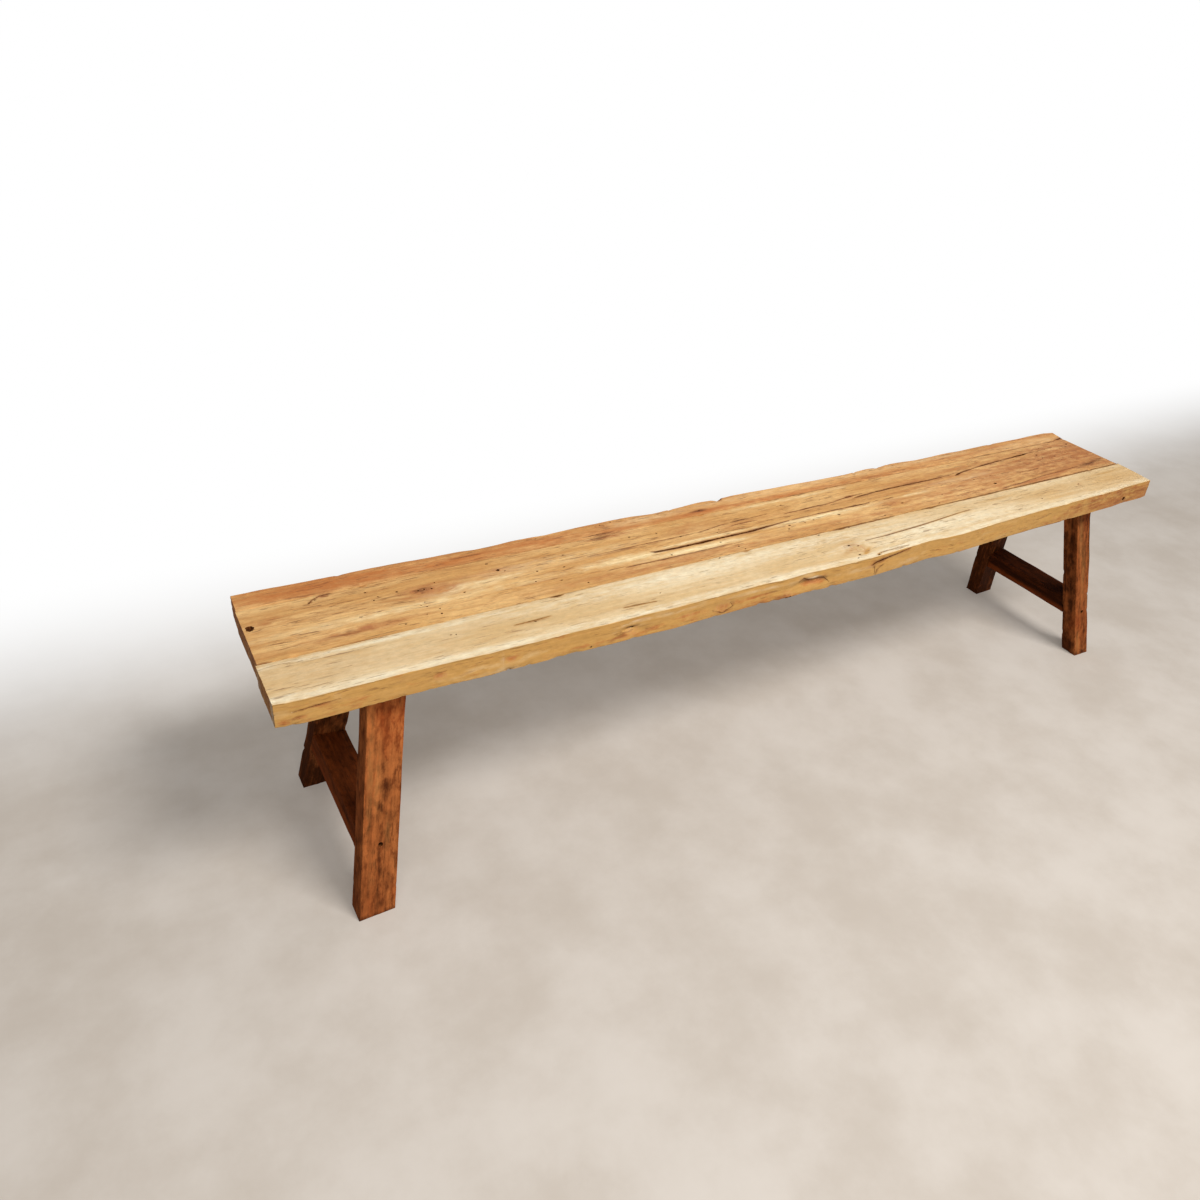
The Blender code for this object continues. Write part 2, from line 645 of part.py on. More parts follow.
def make_cleat_screw(name, start, group, material):
    """A countersunk screw that points up, with its flat face at the start."""
    head = CLEAT_SCREW_HEAD_RADIUS
    length = CLEAT_THICKNESS + CLEAT_SCREW_BITE
    socket_depth = CLEAT_SCREW_HEAD_HEIGHT * SCREW_SOCKET_DEPTH_SHARE
    rings = (
        (0, socket_depth, 0),
        (head * SCREW_SOCKET_SHARE, socket_depth, SOCKET_SIDES),
        (head * SCREW_SOCKET_SHARE, 0, SOCKET_SIDES),
        (head, 0, 0),
        (head, CLEAT_SCREW_RIM, 0),
        (CLEAT_SCREW_SHANK_RADIUS, CLEAT_SCREW_HEAD_HEIGHT, 0),
        (CLEAT_SCREW_SHANK_RADIUS, length - SCREW_TIP_LENGTH, 0),
        (0, length, 0),
    )
    bm = lathe(rings, axis_frame(start, Vector((0, 0, 1))))
    screw = make_object(name, bm, start, group, material)
    shade_round(screw)
    return screw


def cleat_screw_cutter(name, start, group):
    """The screw's countersink and bore, a little wider than the screw and open below."""
    head = CLEAT_SCREW_HEAD_RADIUS + FIT_GAP
    shank = CLEAT_SCREW_SHANK_RADIUS + FIT_GAP
    length = CLEAT_THICKNESS + CLEAT_SCREW_BITE + FIT_GAP
    rings = (
        (0, -CUT_OVERRUN, 0),
        (head, -CUT_OVERRUN, 0),
        (head, CLEAT_SCREW_RIM + FIT_GAP, 0),
        (shank, CLEAT_SCREW_HEAD_HEIGHT + FIT_GAP, 0),
        (shank, length, 0),
        (0, length, 0),
    )
    return make_cutter(name, lathe(rings, axis_frame(start, Vector((0, 0, 1)))), start, group)


def fix_cleat(trestle, board_cutters, material):
    """The screws through one cleat. Their cutters go to the boards' lists and to the caller."""
    cutters = []
    for board_name, side_name, x, y in cleat_screw_places(trestle):
        name = "screw_cleat_" + board_name + "_" + side_name + "_" + trestle.label
        start = Vector((x, y, CLEAT_BOTTOM_Z + FIT_GAP))
        make_cleat_screw(name, start, trestle.group, material)
        cutter = cleat_screw_cutter(name + "_cut", start, trestle.group)
        cutters.append(cutter)
        board_cutters[board_name].append(cutter)
    return cutters


def make_trestle(trestle, board_cutters):
    steel = make_material("screw_steel_" + trestle.label, STEEL_COLOUR, 0.45, 0.9)
    for leg, colour in ((trestle.front, FRONT_LEG_COLOUR), (trestle.rear, REAR_LEG_COLOUR)):
        make_leg(leg, colour)
        make_leg_screw(leg, steel)
    make_stretcher(trestle, STRETCHER_COLOUR)
    cleat, mortises = make_cleat(trestle, CLEAT_COLOUR)
    cut_away(cleat, mortises + fix_cleat(trestle, board_cutters, steel))


def main():
    clear_scene()
    boards, board_cutters = make_seat()
    left = Trestle(
        label="left",
        side=-1,
        foot_inset=LEFT_FOOT_INSET,
        lean=LEFT_LEAN,
        leg_widths=(LEFT_LEG_WIDTH, LEFT_LEG_WIDTH),
        foot_reaches=(LEFT_FOOT_REACH, LEFT_FOOT_REACH),
        head_reach=LEFT_HEAD_REACH,
        rail=(LEFT_STRETCHER_HEIGHT, LEFT_STRETCHER_THICKNESS),
        screw_drop=-LEFT_LEG_SCREW_RISE,
    )
    right = Trestle(
        label="right",
        side=1,
        foot_inset=RIGHT_FOOT_INSET,
        lean=RIGHT_LEAN,
        leg_widths=(RIGHT_FRONT_LEG_WIDTH, RIGHT_REAR_LEG_WIDTH),
        foot_reaches=(RIGHT_FRONT_FOOT_REACH, RIGHT_REAR_FOOT_REACH),
        head_reach=RIGHT_HEAD_REACH,
        rail=(RIGHT_STRETCHER_HEIGHT, RIGHT_STRETCHER_THICKNESS),
        screw_drop=RIGHT_LEG_SCREW_DROP,
    )
    make_trestle(left, board_cutters)
    make_trestle(right, board_cutters)
    for board_name, board in boards.items():
        cut_away(board, board_cutters[board_name])


main()
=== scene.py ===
"""A worn wooden bench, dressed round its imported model: three planks on two leaning trestles.

Each wooden piece that shows is a finely divided block with worn arrises, hollows, worm holes, cracks
and knots in its mesh. Its material is a solid wood pattern of growth rings and fibres, which follows
the grain that each mesh carries in its attributes.
"""

import itertools
import math

import bpy
import numpy as np
from mathutils import Matrix, Vector


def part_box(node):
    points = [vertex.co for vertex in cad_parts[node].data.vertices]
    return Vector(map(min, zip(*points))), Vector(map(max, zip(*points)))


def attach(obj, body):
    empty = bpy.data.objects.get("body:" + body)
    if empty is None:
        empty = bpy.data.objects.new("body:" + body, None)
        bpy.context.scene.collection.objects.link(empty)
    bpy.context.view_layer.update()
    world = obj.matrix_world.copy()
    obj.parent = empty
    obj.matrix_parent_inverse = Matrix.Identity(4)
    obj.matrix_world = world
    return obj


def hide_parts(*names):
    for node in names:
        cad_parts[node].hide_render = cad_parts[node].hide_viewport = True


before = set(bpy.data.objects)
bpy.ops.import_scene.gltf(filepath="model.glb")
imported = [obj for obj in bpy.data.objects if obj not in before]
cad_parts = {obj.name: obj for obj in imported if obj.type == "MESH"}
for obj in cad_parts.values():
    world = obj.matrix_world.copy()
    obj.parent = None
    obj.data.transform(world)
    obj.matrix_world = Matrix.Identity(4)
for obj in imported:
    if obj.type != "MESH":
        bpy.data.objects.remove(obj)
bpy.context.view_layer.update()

MICRON = 1e-6
TABLE_DIGITS = 7

# Seat
TOP_LENGTH = 2.000
TOP_Z = 0.450
END_SETBACK = 0.021
FRONT_EDGE_WAVE = 0.022
REAR_EDGE_WAVE = 0.0115
WAVE_REACH = 0.070
WAVE_REACH_SHARE = 0.7
WORN_CORNER_REACH = 0.020
WORN_CORNER_END_SHARE = 0.4
KNOT_HOLE = (-0.986, 0.0477, TOP_Z)
KNOT_HOLE_RADII = (0.0068, 0.0070)
KNOT_HOLE_DEPTH = 0.024
KNOT_HOLE_SIDES = 24
SEAM_FADE_IN = 0.03
SEAM_FADE_OUT = 0.02
SEAM_SHADE_REACH = 0.0024
SEAM_RAGGED = 0.7
SEAM_RAGGED_LIMITS = (0.3, 1.8)
SEAM_TOP_SHARES = (0.35, 0.75)
FACE_HOLE_START = 0.0012
FACE_HOLE_SLOPE = 0.2

# Trestles
LEG_TOP_Z = 0.3884
LEG_THICKNESS = 0.039
STRETCHER_FACE_INSET = 0.001
COUNTERBORE_RADIUS = 0.0055
COUNTERBORE_MOUTH_RADIUS = 0.0040
COUNTERBORE_DEPTH = 0.010
COUNTERBORE_OVERRUN = 0.004
COUNTERBORE_SIDES = 28
FIT_GAP = 0.0003
TRESTLES = {
    "left": {
        "side": -1,
        "foot_inset": 0.080,
        "lean": math.radians(9.1),
        "leg_widths": (0.062, 0.062),
        "foot_reaches": (0.191, 0.191),
        "head_reach": 0.116,
        "rail_height": 0.122,
        "rail_thickness": 0.038,
        "rail_darkness": 0.42,
        "screw_drop": -0.0095,
    },
    "right": {
        "side": 1,
        "foot_inset": 0.055,
        "lean": math.radians(13.6),
        "leg_widths": (0.045, 0.056),
        "foot_reaches": (0.182, 0.171),
        "head_reach": 0.111,
        "rail_height": 0.128,
        "rail_thickness": 0.045,
        "rail_darkness": 0.90,
        "screw_drop": 0.0085,
    },
}

# Mesh spacing
BOARD_STEP = 0.005
ACROSS_STEP = 0.0022
LEG_STEP = 0.005
LEG_ACROSS_STEP = 0.0035
ARRIS_OFFSETS = (0.0, 0.0005, 0.0011, 0.0018, 0.0028, 0.0042)
SMOOTH_ANGLE = math.radians(38)

# Noise: numbers that stir a place and a seed, what parts the octaves, seeds, and swings a metre by axis
PLACE_FACTORS = (374761393, 668265263, 1440662683)
SEED_FACTOR = 974634777
STIR_FACTOR = 1274126177
RANDOM_MASK = 0xFFFFFF
OCTAVE_SHIFT = 17.3
FRONT_SEED = 71
LEG_SEED = 50
RAIL_SEED = 90
HOLE_SEED = 100
CRACK_SEED = 200
WAVES = {
    "rear_wear": (14, 5, 40),
    "end_wear": (1, 90, 240),
    "seam": (35, 1, 1),
    "face_hollow": (11, 4, 40),
    "face_ease": (9, 1, 1),
    "face_rim": (40, 8, 120),
    "face_warmth": (20, 10, 70),
    "edge_highlight": (9, 40, 1),
    "leg_warmth": (18, 18, 9),
    "leg_mottle": (24, 24, 11),
    "leg_speck": (90, 90, 45),
    "rail_warmth": (9, 30, 30),
    "rail_mottle": (18, 10, 18),
}

# Wear: depths, reaches and radii in metres, waves as swings a metre by axis, and shares of a height
BOARD_RADII = (0.0004, 0.0042)
BOARD_UNEVEN = {"swing": 0.45, "waves": (22, 1, 1)}
BOARD_RELIEF = {"hollow": 0.00035, "waves": (9, 14, 14), "saw_mark": 0.00016, "saw_waves": (16, 210, 210)}
BOARD_END_WEAR = 0.0005
BOARD_REAR_WEAR = 0.0011
BOARD_CHIPS = {"depth": 0.0045, "reach": 0.004, "waves": (48, 8, 8), "least": 0.62}
FACE_HOLLOW = 0.0005
FACE_HOLLOW_SHARES = (0.15, 0.6)
FACE_FULLNESS = 0.0012
FACE_FULL_REACH = 0.02
FACE_TOP_EASE = 0.0009
FACE_EASE_SHARES = (0.6, 1.0)
FACE_EASE_SWING = 0.8
FACE_SAW_MARK = 0.0003
FACE_SAW_SPACING = 0.019
FACE_SAW_SLOPE = 0.8
FACE_SAWN = ((-0.80, -0.76), (-0.62, -0.57))
LEG_ARRIS = 0.0017
LEG_RADII = (0.0006, 0.0042)
LEG_RELIEF = {"hollow": 0.0005, "waves": (9, 20, 20), "saw_mark": 0.00014, "saw_waves": (22, 240, 240)}
LEG_CHIPS = {"depth": 0.006, "reach": 0.005, "waves": (42, 9, 9), "least": 0.6}
BITE_REACHES = (0.012, 0.022)
BITE_FADE = (0.02, 0.01)
BITE_LIMIT = 1.4
RAIL_ARRIS = 0.0013
RAIL_RADII = (0.0005, 0.004)
RAIL_RELIEF = {"hollow": 0.0004, "waves": (10, 22, 22), "saw_mark": 0.00014, "saw_waves": (22, 240, 240)}
RAIL_END_REACH = 0.012
BAR_UNEVEN = {"swing": 0.5, "waves": (26, 1, 1)}

# Worm holes: height and share of the radii at the mouth, then shares of the depth and of the radii
PIT_MOUTH = (0.0025, 1.12)
PIT_SHARES = ((0.0, 1.0), (0.35, 0.84), (0.75, 0.6), (1.0, 0.22))
PIT_WOBBLE = (0.8, 1.15)
PIT_DRIFT = 0.3
PIT_SIDE_DRIFT = 0.4
PIT_LEAN = 0.25
PIT_TURN = 0.3

# Cracks, and how the wood darkens beside them
CRACK_STEP = 0.006
CRACK_SWAY = 0.00035
CRACK_SLANT = 0.0004
CRACK_OVERRUN = 0.002
CRACK_LEAST_HALF = 0.00009
CRACK_HALF_SWING = (0.65, 1.25)
CRACK_SINK_SWING = (0.85, 1.0)
CRACK_FULL_WIDTH = 0.003
CRACK_THIN_SHARE = 0.35
CRACK_FLOOR_SHARE = 0.35
SHADE_WINDOW = 0.01
SHADE_STRENGTHS = (0.42, 0.95)
SHADE_PER_WIDTH = 240
SHADE_REACH = 0.0014
SHADE_REACH_SHARE = 0.6

# Knots: how softly and how far they push the grain aside, and how fast and how long their hearts fade
KNOT_SOFTNESS = 0.6
KNOT_FADE = 3
HEART_FALL = 0.7
HEART_LENGTH = 1.6

# The tones' channels in the meshes
WARM_TONE, PALE_TONE, DARK_TONE, KNOT_TONE = range(4)

# Tints that the meshes carry: places and reaches in metres, strengths, and shares of a face or its slope
# A painted highlight on the top just behind the seat's front arris: its place, reach, strength, mean and
# swing, and how it fades towards the right end
EDGE_HIGHLIGHT_PLACE = 0.010
EDGE_HIGHLIGHT_REACH = 0.009
EDGE_HIGHLIGHT_STRENGTH = 0.85
EDGE_HIGHLIGHT_MEAN = 0.75
EDGE_HIGHLIGHT_SWING = 0.25
EDGE_HIGHLIGHT_RIGHT = (0.3, 0.8)
EDGE_HIGHLIGHT_RIGHT_LOSS = 0.5
FACE_RIM = (0.35, 0.75)
FACE_RIM_SWING = 0.22
FACE_DEPTH = 0.012
FACE_WARMTH = 0.40
FACE_WARMTH_SWING = 0.16
FACE_RIGHT_WARMTH = 0.48
FACE_RIGHT = (0.50, 0.90)
FACE_LOW_WARMTH = 0.22
FACE_LOW = (0.412, 0.434)
FACE_LOW_SPAN = ((-0.52, -0.45), (0.0, 0.08))
CRACK_WARMTH = 0.8
SEAM_WARMTH = 0.6
SEAM_WARMTH_PER_WIDTH = 300
SEAM_DARKNESS = 0.95
SEAM_DARKNESS_PER_WIDTH = 650
END_FACE = (0.5, 0.85)
END_WARMTH = 0.9
END_DARKNESS = 0.45
BAR_WARMTH = 0.55
LEG_WARM_RISE = (0.0, 0.8)
RAIL_STREAK_WARMTH = 0.4
RAIL_STREAK_RISE = (0.1, 0.8)
# Heights over which the rear legs' painted shade under the seat comes in
UNDER_SEAT_SHADE = (0.20, 0.36)
FOOT_DARKNESS = 0.75
FOOT_DARK_REACH = 0.012
LEG_OUTER_SHARES = (0.7, 0.95)
LEG_MOTTLE = (0.15, 0.90, 0.70)
LEG_GRAIN_SHIFTS = (1.7, 0.02)
# The rail's painted light and shade: its lower part lighter and warmer, its upper part darker as if shaded
# by the seat
RAIL_LIT_LOW_SHARES = (-0.35, 0.0)
RAIL_LIT_LOW_LOSS = 0.7
RAIL_MOTTLE = (0.4, 0.9)
RAIL_GRAIN_SHIFT = 0.03

# Materials
RING_RISE = (0.15, 0.80)
RING_FALL = (0.84, 1.0)
KNOT_RINGS = 4.0
EYE_STRENGTH = 0.45
EYE_RING = (0.3, 0.8)
EYE_REACH = (0.10, 0.4)
HEART_REACH = (0.78, 0.99)
TINT_RAGGED = 1.5
TINT_RAGGED_LIMITS = (0, 0.3)
TINT_LIMITS = (0.05, 0.98)
OLIVE_RAGGED = 0.15
OLIVE_FULL = 0.34
OLIVE_END = 0.50
END_FACING = (0.6, 0.9)
END_ROUGHNESS = 0.35
FIBRE_ROUGHNESS = 0.3
FIBRE_BRIGHTNESS = 0.6
RING_GLOSS = 0.05
FIBRE_RELIEF = 0.8
RING_RELIEF = 0.25
DASH_RELIEF = 0.9
# The wood inside cracks and holes, dark partly as painted shade in them
BARED_COLOUR_AND_SHADE = (0.12, 0.038, 0.010)
BARED_DARK_SHARE = 0.35
STEEL_COLOUR = (0.045, 0.042, 0.040)
RUST_COLOUR = (0.09, 0.032, 0.014)

# Stage
FLOOR_HALF = 30.0
FLOOR_COLOUR = (0.49, 0.435, 0.380)
FLOOR_LIGHT_COLOUR = (0.575, 0.525, 0.475)
FLOOR_FAR_COLOUR = (0.93, 0.925, 0.92)
FLOOR_DULL_COLOUR = (0.42, 0.40, 0.38)
FLOOR_LIFT = 0.25
FLOOR_ROUGHNESS = 0.8
FLOOR_PALER_Y = (0.15, 1.6)
FLOOR_WHITE_Y = (0.40, 1.1)
FLOOR_WHITE_DISTANCE = (2.4, 6.0)
WORLD_COLOUR = (1.0, 0.985, 0.965, 1)
WORLD_STRENGTH = 0.30
LAMP_COLOUR = (1.0, 0.985, 0.96)
LAMPS = {
    "key": {"place": (0.7, -2.1, 3.6), "target": (0.0, 0.0, 0.3), "size": (1.6, 1.0), "power": 165.0},
    "fill": {"place": (-1.5, -2.4, 2.0), "target": (-0.3, 0.0, 0.3), "size": (2.0, 1.2), "power": 34.0},
}
FRAME_PIXELS = 1200
CAMERA_FOCAL_PIXELS = 958.09
CAMERA_TURN = (2.1005, -0.5050, 0.3710)
CAMERA_PLACE = (-1.1611, -1.2465, 1.3129)
SENSOR_WIDTH = 36.0


def metres(measure):
    """A measure in millimetres, or a table of such measures, in metres."""
    if isinstance(measure, dict):
        return {name: metres(part) for name, part in measure.items()}
    if isinstance(measure, tuple):
        return tuple(metres(part) for part in measure)
    return round(measure / 1000, TABLE_DIGITS)


def patches(table):
    """Rows of four measures in millimetres and some shares, with the measures in metres."""
    if isinstance(table, dict):
        return {name: patches(rows) for name, rows in table.items()}
    return tuple(metres(row[:4]) + row[4:] for row in table)


def lattice_noise(points, seed):
    """Smooth noise from -1 to 1 at each point, with one random value for each whole-numbered place."""
    cells = np.floor(points).astype(np.int64)
    part = points - cells
    part = part * part * (3 - 2 * part)
    total = np.zeros(len(points))
    for corner in itertools.product((0, 1), repeat=3):
        place = cells + np.array(corner)
        mixed = sum(place[:, k] * factor for k, factor in enumerate(PLACE_FACTORS)) + seed * SEED_FACTOR
        mixed = (mixed ^ (mixed >> 13)) * STIR_FACTOR
        mixed = mixed ^ (mixed >> 16)
        value = (mixed & RANDOM_MASK) / (RANDOM_MASK // 2) - 1.0
        weight = np.prod(np.where(np.array(corner) == 1, part, 1 - part), axis=1)
        total += value * weight
    return total


def noise(points, waves, seed, octaves=3):
    """Layered noise, where waves gives how many swings a metre holds along each axis."""
    scaled = points * np.array(waves)
    total = np.zeros(len(points))
    strength = 1.0
    for octave in range(octaves):
        total += strength * lattice_noise(scaled * 2 ** octave + OCTAVE_SHIFT * octave, seed + octave)
        strength *= 0.5
    return total


def smooth_step(low, high, value):
    share = np.clip((value - low) / (high - low), 0, 1)
    return share * share * (3 - 2 * share)


def span(rise, fall, value):
    """One from the end of the rise to the start of the fall, and zero outside them."""
    return smooth_step(*rise, value) * (1 - smooth_step(*fall, value))


def blend(first, second, share):
    return first * (1 - share) + second * share


def stations(length, step):
    """Places along an edge, crowded at both ends where the arris is rounded."""
    ends = list(ARRIS_OFFSETS)
    count = max(2, round((length - 2 * ends[-1]) / step) + 1)
    inner = np.linspace(ends[-1], length - ends[-1], count)
    return np.array(ends[:-1] + list(inner) + [length - offset for offset in reversed(ends[:-1])])


def block(size, steps):
    """The surface of a block as a lattice of points and quads."""
    axes = [stations(length, step) for length, step in zip(size, steps)]
    counts = [len(axis) for axis in axes]
    outer = np.zeros(counts, bool)
    outer[[0, -1]] = True
    outer[:, [0, -1]] = True
    outer[:, :, [0, -1]] = True
    index = np.full(counts, -1)
    index[outer] = np.arange(outer.sum())
    places = np.argwhere(outer)
    points = np.stack([axis[places[:, k]] for k, axis in enumerate(axes)], axis=1)
    quads = []
    for k in range(3):
        for end in (0, -1):
            sheet = np.take(index, end, axis=k)
            loops = np.stack([sheet[:-1, :-1], sheet[1:, :-1], sheet[1:, 1:], sheet[:-1, 1:]], axis=-1)
            loops = loops.reshape(-1, 4)
            quads.append(loops[:, ::-1] if (end == 0) != (k == 1) else loops)
    return points, np.concatenate(quads)


def round_arrises(points, size, radius):
    """The block's points drawn in to arrises of each point's radius, and their outward directions."""
    size = np.array(size)
    far = points > size / 2
    depth = np.where(far, size - points, points)
    radius = radius[:, None]
    lean = np.maximum(radius - depth, 0)
    length = np.maximum(np.linalg.norm(lean, axis=1, keepdims=True), MICRON)
    depth = np.where(lean > 0, radius - lean * radius / length, depth)
    outward = lean / length * np.where(far, 1, -1)
    return np.where(far, size - depth, depth), outward


def make_mesh(name, points, faces):
    mesh = bpy.data.meshes.new(name)
    mesh.from_pydata(np.asarray(points).tolist(), [], [list(map(int, face)) for face in faces])
    item = bpy.data.objects.new(name, mesh)
    bpy.context.scene.collection.objects.link(item)
    return item


def dress(item, materials):
    for material in materials:
        item.data.materials.append(material)


def worn_piece(node, points, quads, materials):
    item = make_mesh("worn_" + node, points, quads)
    dress(item, materials)
    return item


def tube(rings):
    """Points and faces of a closed solid through rings with as many points each."""
    count = len(rings[0])
    points = [point for ring in rings for point in ring]
    faces = [tuple(reversed(range(count)))]
    for row in range(len(rings) - 1):
        for i in range(count):
            j = (i + 1) % count
            faces.append((row * count + i, row * count + j, (row + 1) * count + j, (row + 1) * count + i))
    faces.append(tuple(range((len(rings) - 1) * count, len(rings) * count)))
    return points, faces


class Cutters:
    """Closed solids that are cut out of one piece together."""

    def __init__(self, seed):
        self.random = np.random.default_rng(seed)
        self.points = []
        self.faces = []

    def add(self, points, faces):
        """Adds one closed solid, turned inside out where its faces look inward."""
        corners = [Vector(point) for point in points]
        volume = 0.0
        for face in faces:
            for i in range(1, len(face) - 1):
                volume += corners[face[0]].dot(corners[face[i]].cross(corners[face[i + 1]]))
        if volume < 0:
            faces = [tuple(reversed(face)) for face in faces]
        start = len(self.points)
        self.points += [tuple(point) for point in points]
        self.faces += [tuple(start + i for i in face) for face in faces]

    def pit(self, place, along, out, radii, depth, sides=11):
        """A ragged tapering hole. Its mouth is longest in the direction along, and out points outward."""
        out = Vector(out).normalized()
        along = (Vector(along) - Vector(along).dot(out) * out).normalized()
        across = out.cross(along)
        wobble = self.random.uniform(*PIT_WOBBLE, sides)
        drift = self.random.uniform(-PIT_DRIFT, PIT_DRIFT, 2) * depth
        rings = []
        for height, share in [PIT_MOUTH] + [(-sunk * depth, share) for sunk, share in PIT_SHARES]:
            ring = []
            sink = max(0.0, -height) / depth
            for i in range(sides):
                angle = 2 * math.pi * i / sides
                a = radii[0] * share * wobble[i] * math.cos(angle) + drift[0] * sink
                b = radii[1] * share * wobble[i] * math.sin(angle) + drift[1] * sink * PIT_SIDE_DRIFT
                ring.append(Vector(place) + along * a + across * b + out * height)
            rings.append(ring)
        self.add(*tube(rings[::-1]))

    def crack(self, path, out, depth):
        """A ragged split along a path of (x, y, z, width), which narrows towards its bottom."""
        out = Vector(out).normalized()
        path = np.array(path, float)
        run = np.r_[0, np.cumsum(np.linalg.norm(np.diff(path[:, :3], axis=0), axis=1))]
        count = max(4, round(run[-1] / CRACK_STEP))
        at = np.linspace(0, run[-1], count + 1)
        line = np.stack([np.interp(at, run, path[:, k]) for k in range(4)], axis=1)
        rings = []
        for i, row in enumerate(line):
            ahead = Vector(line[min(i + 1, count)][:3]) - Vector(line[max(i - 1, 0)][:3])
            across = out.cross(ahead).normalized()
            inner = 0 < i < count
            centre = Vector(row[:3]) + across * (self.random.normal(0, CRACK_SWAY) if inner else 0)
            swing = self.random.uniform(*CRACK_HALF_SWING) if inner else 1
            half = max(CRACK_LEAST_HALF, row[3] / 2 * swing)
            share = CRACK_THIN_SHARE + (1 - CRACK_THIN_SHARE) * min(1, row[3] / CRACK_FULL_WIDTH)
            sink = depth * share * self.random.uniform(*CRACK_SINK_SWING)
            slant = across * self.random.normal(0, CRACK_SLANT)
            rings.append([
                centre - across * half + out * CRACK_OVERRUN,
                centre + across * half + out * CRACK_OVERRUN,
                centre + across * half * CRACK_FLOOR_SHARE - out * sink + slant,
                centre - across * half * CRACK_FLOOR_SHARE - out * sink + slant,
            ])
        self.add(*tube(rings))

    def cut(self, item):
        """Takes these solids out of the item's mesh. What they bare gets the item's second material."""
        if not self.points:
            return
        cutter = make_mesh(item.name + "_cutter", self.points, self.faces)
        dress(cutter, item.data.materials)
        cutter.data.polygons.foreach_set("material_index", [1] * len(cutter.data.polygons))
        fix = cutter.modifiers.new("three sided", "TRIANGULATE")
        fix.min_vertices = 5
        modifier = item.modifiers.new("cut", "BOOLEAN")
        modifier.operation = "DIFFERENCE"
        modifier.solver = "MANIFOLD"
        modifier.object = cutter
        bpy.context.view_layer.update()
        depsgraph = bpy.context.evaluated_depsgraph_get()
        mesh = bpy.data.meshes.new_from_object(item.evaluated_get(depsgraph))
        item.modifiers.clear()
        item.data = mesh
        bpy.data.objects.remove(cutter)


def finish_piece(item, body, node):
    item.data.shade_smooth()
    item.data.set_sharp_from_angle(angle=SMOOTH_ANGLE)
    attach(item, body)
    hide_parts(node)


def vectors(places, key):
    values = np.zeros(len(places) * 3, np.float32)
    places.foreach_get(key, values)
    return values.reshape(-1, 3)


def positions(item):
    return vectors(item.data.vertices, "co").astype(float)


def write_attributes(item, grain, tone):
    """Stores the wood's own coordinates and the tones: warm, pale, dark and knot, where pale and dark also
    carry painted highlight and shade.
    """
    layer = item.data.attributes.new("grain", "FLOAT_VECTOR", "POINT")
    layer.data.foreach_set("vector", grain.astype(np.float32).ravel())
    layer = item.data.attributes.new("tone", "FLOAT_COLOR", "POINT")
    layer.data.foreach_set("color", np.clip(tone, 0, 1).astype(np.float32).ravel())


def lift(tone, channel, strength):
    """Raises one of the tones to the given strength where it is lower."""
    tone[:, channel] = np.maximum(tone[:, channel], strength)


class Nodes:
    """A short way to write a material's nodes."""

    def __init__(self, name):
        self.material = bpy.data.materials.new(name)
        self.material.use_nodes = True
        self.tree = self.material.node_tree
        self.tree.nodes.clear()

    def add(self, kind, values=(), output=0, **settings):
        node = self.tree.nodes.new("ShaderNode" + kind)
        for key, value in settings.items():
            setattr(node, key, value)
        for key, value in dict(values).items():
            if isinstance(value, bpy.types.NodeSocket):
                self.tree.links.new(value, node.inputs[key])
            else:
                node.inputs[key].default_value = value
        return node.outputs[output]

    def math(self, operation, a, b=0.0):
        return self.add("Math", {0: a, 1: b}, operation=operation)

    def plus(self, a, b):
        return self.math("ADD", a, b)

    def minus(self, a, b):
        return self.math("SUBTRACT", a, b)

    def times(self, a, b):
        return self.math("MULTIPLY", a, b)

    def noise(self, vector, scale, detail=3.0, roughness=0.55, shift=0.0):
        if shift:
            vector = self.add("VectorMath", {0: vector, 1: (shift, shift, shift)}, operation="ADD")
        vector = self.add("VectorMath", {0: vector, 1: scale}, operation="MULTIPLY")
        values = {"Vector": vector, "Scale": 1.0, "Detail": detail, "Roughness": roughness}
        return self.add("TexNoise", values)

    def fit(self, value, low, high, smooth=True):
        values = {"Value": value, "From Min": low, "From Max": high}
        return self.add("MapRange", values, interpolation_type="SMOOTHSTEP" if smooth else "LINEAR")

    def mix(self, share, a, b):
        """Two colours mixed, where 6 and 7 are the node's colour inputs."""
        a, b = (ink if isinstance(ink, bpy.types.NodeSocket) else (*ink, 1) for ink in (a, b))
        return self.add("Mix", {0: share, 6: a, 7: b}, output=2, data_type="RGBA")

    def split(self, vector):
        node = self.tree.nodes.new("ShaderNodeSeparateXYZ")
        self.tree.links.new(vector, node.inputs[0])
        return node.outputs

    def surface(self, colour, roughness, height, relief, **constants):
        """The piece's shader, with a fine relief of the given depth in metres."""
        bump = self.add("Bump", {"Height": height, "Strength": 1.0, "Distance": relief})
        values = {"Base Color": colour, "Roughness": roughness, "Normal": bump, **constants}
        shader = self.add("BsdfPrincipled", values)
        self.add_output(shader)
        return self.material

    def add_output(self, shader):
        output = self.tree.nodes.new("ShaderNodeOutputMaterial")
        self.tree.links.new(shader, output.inputs["Surface"])


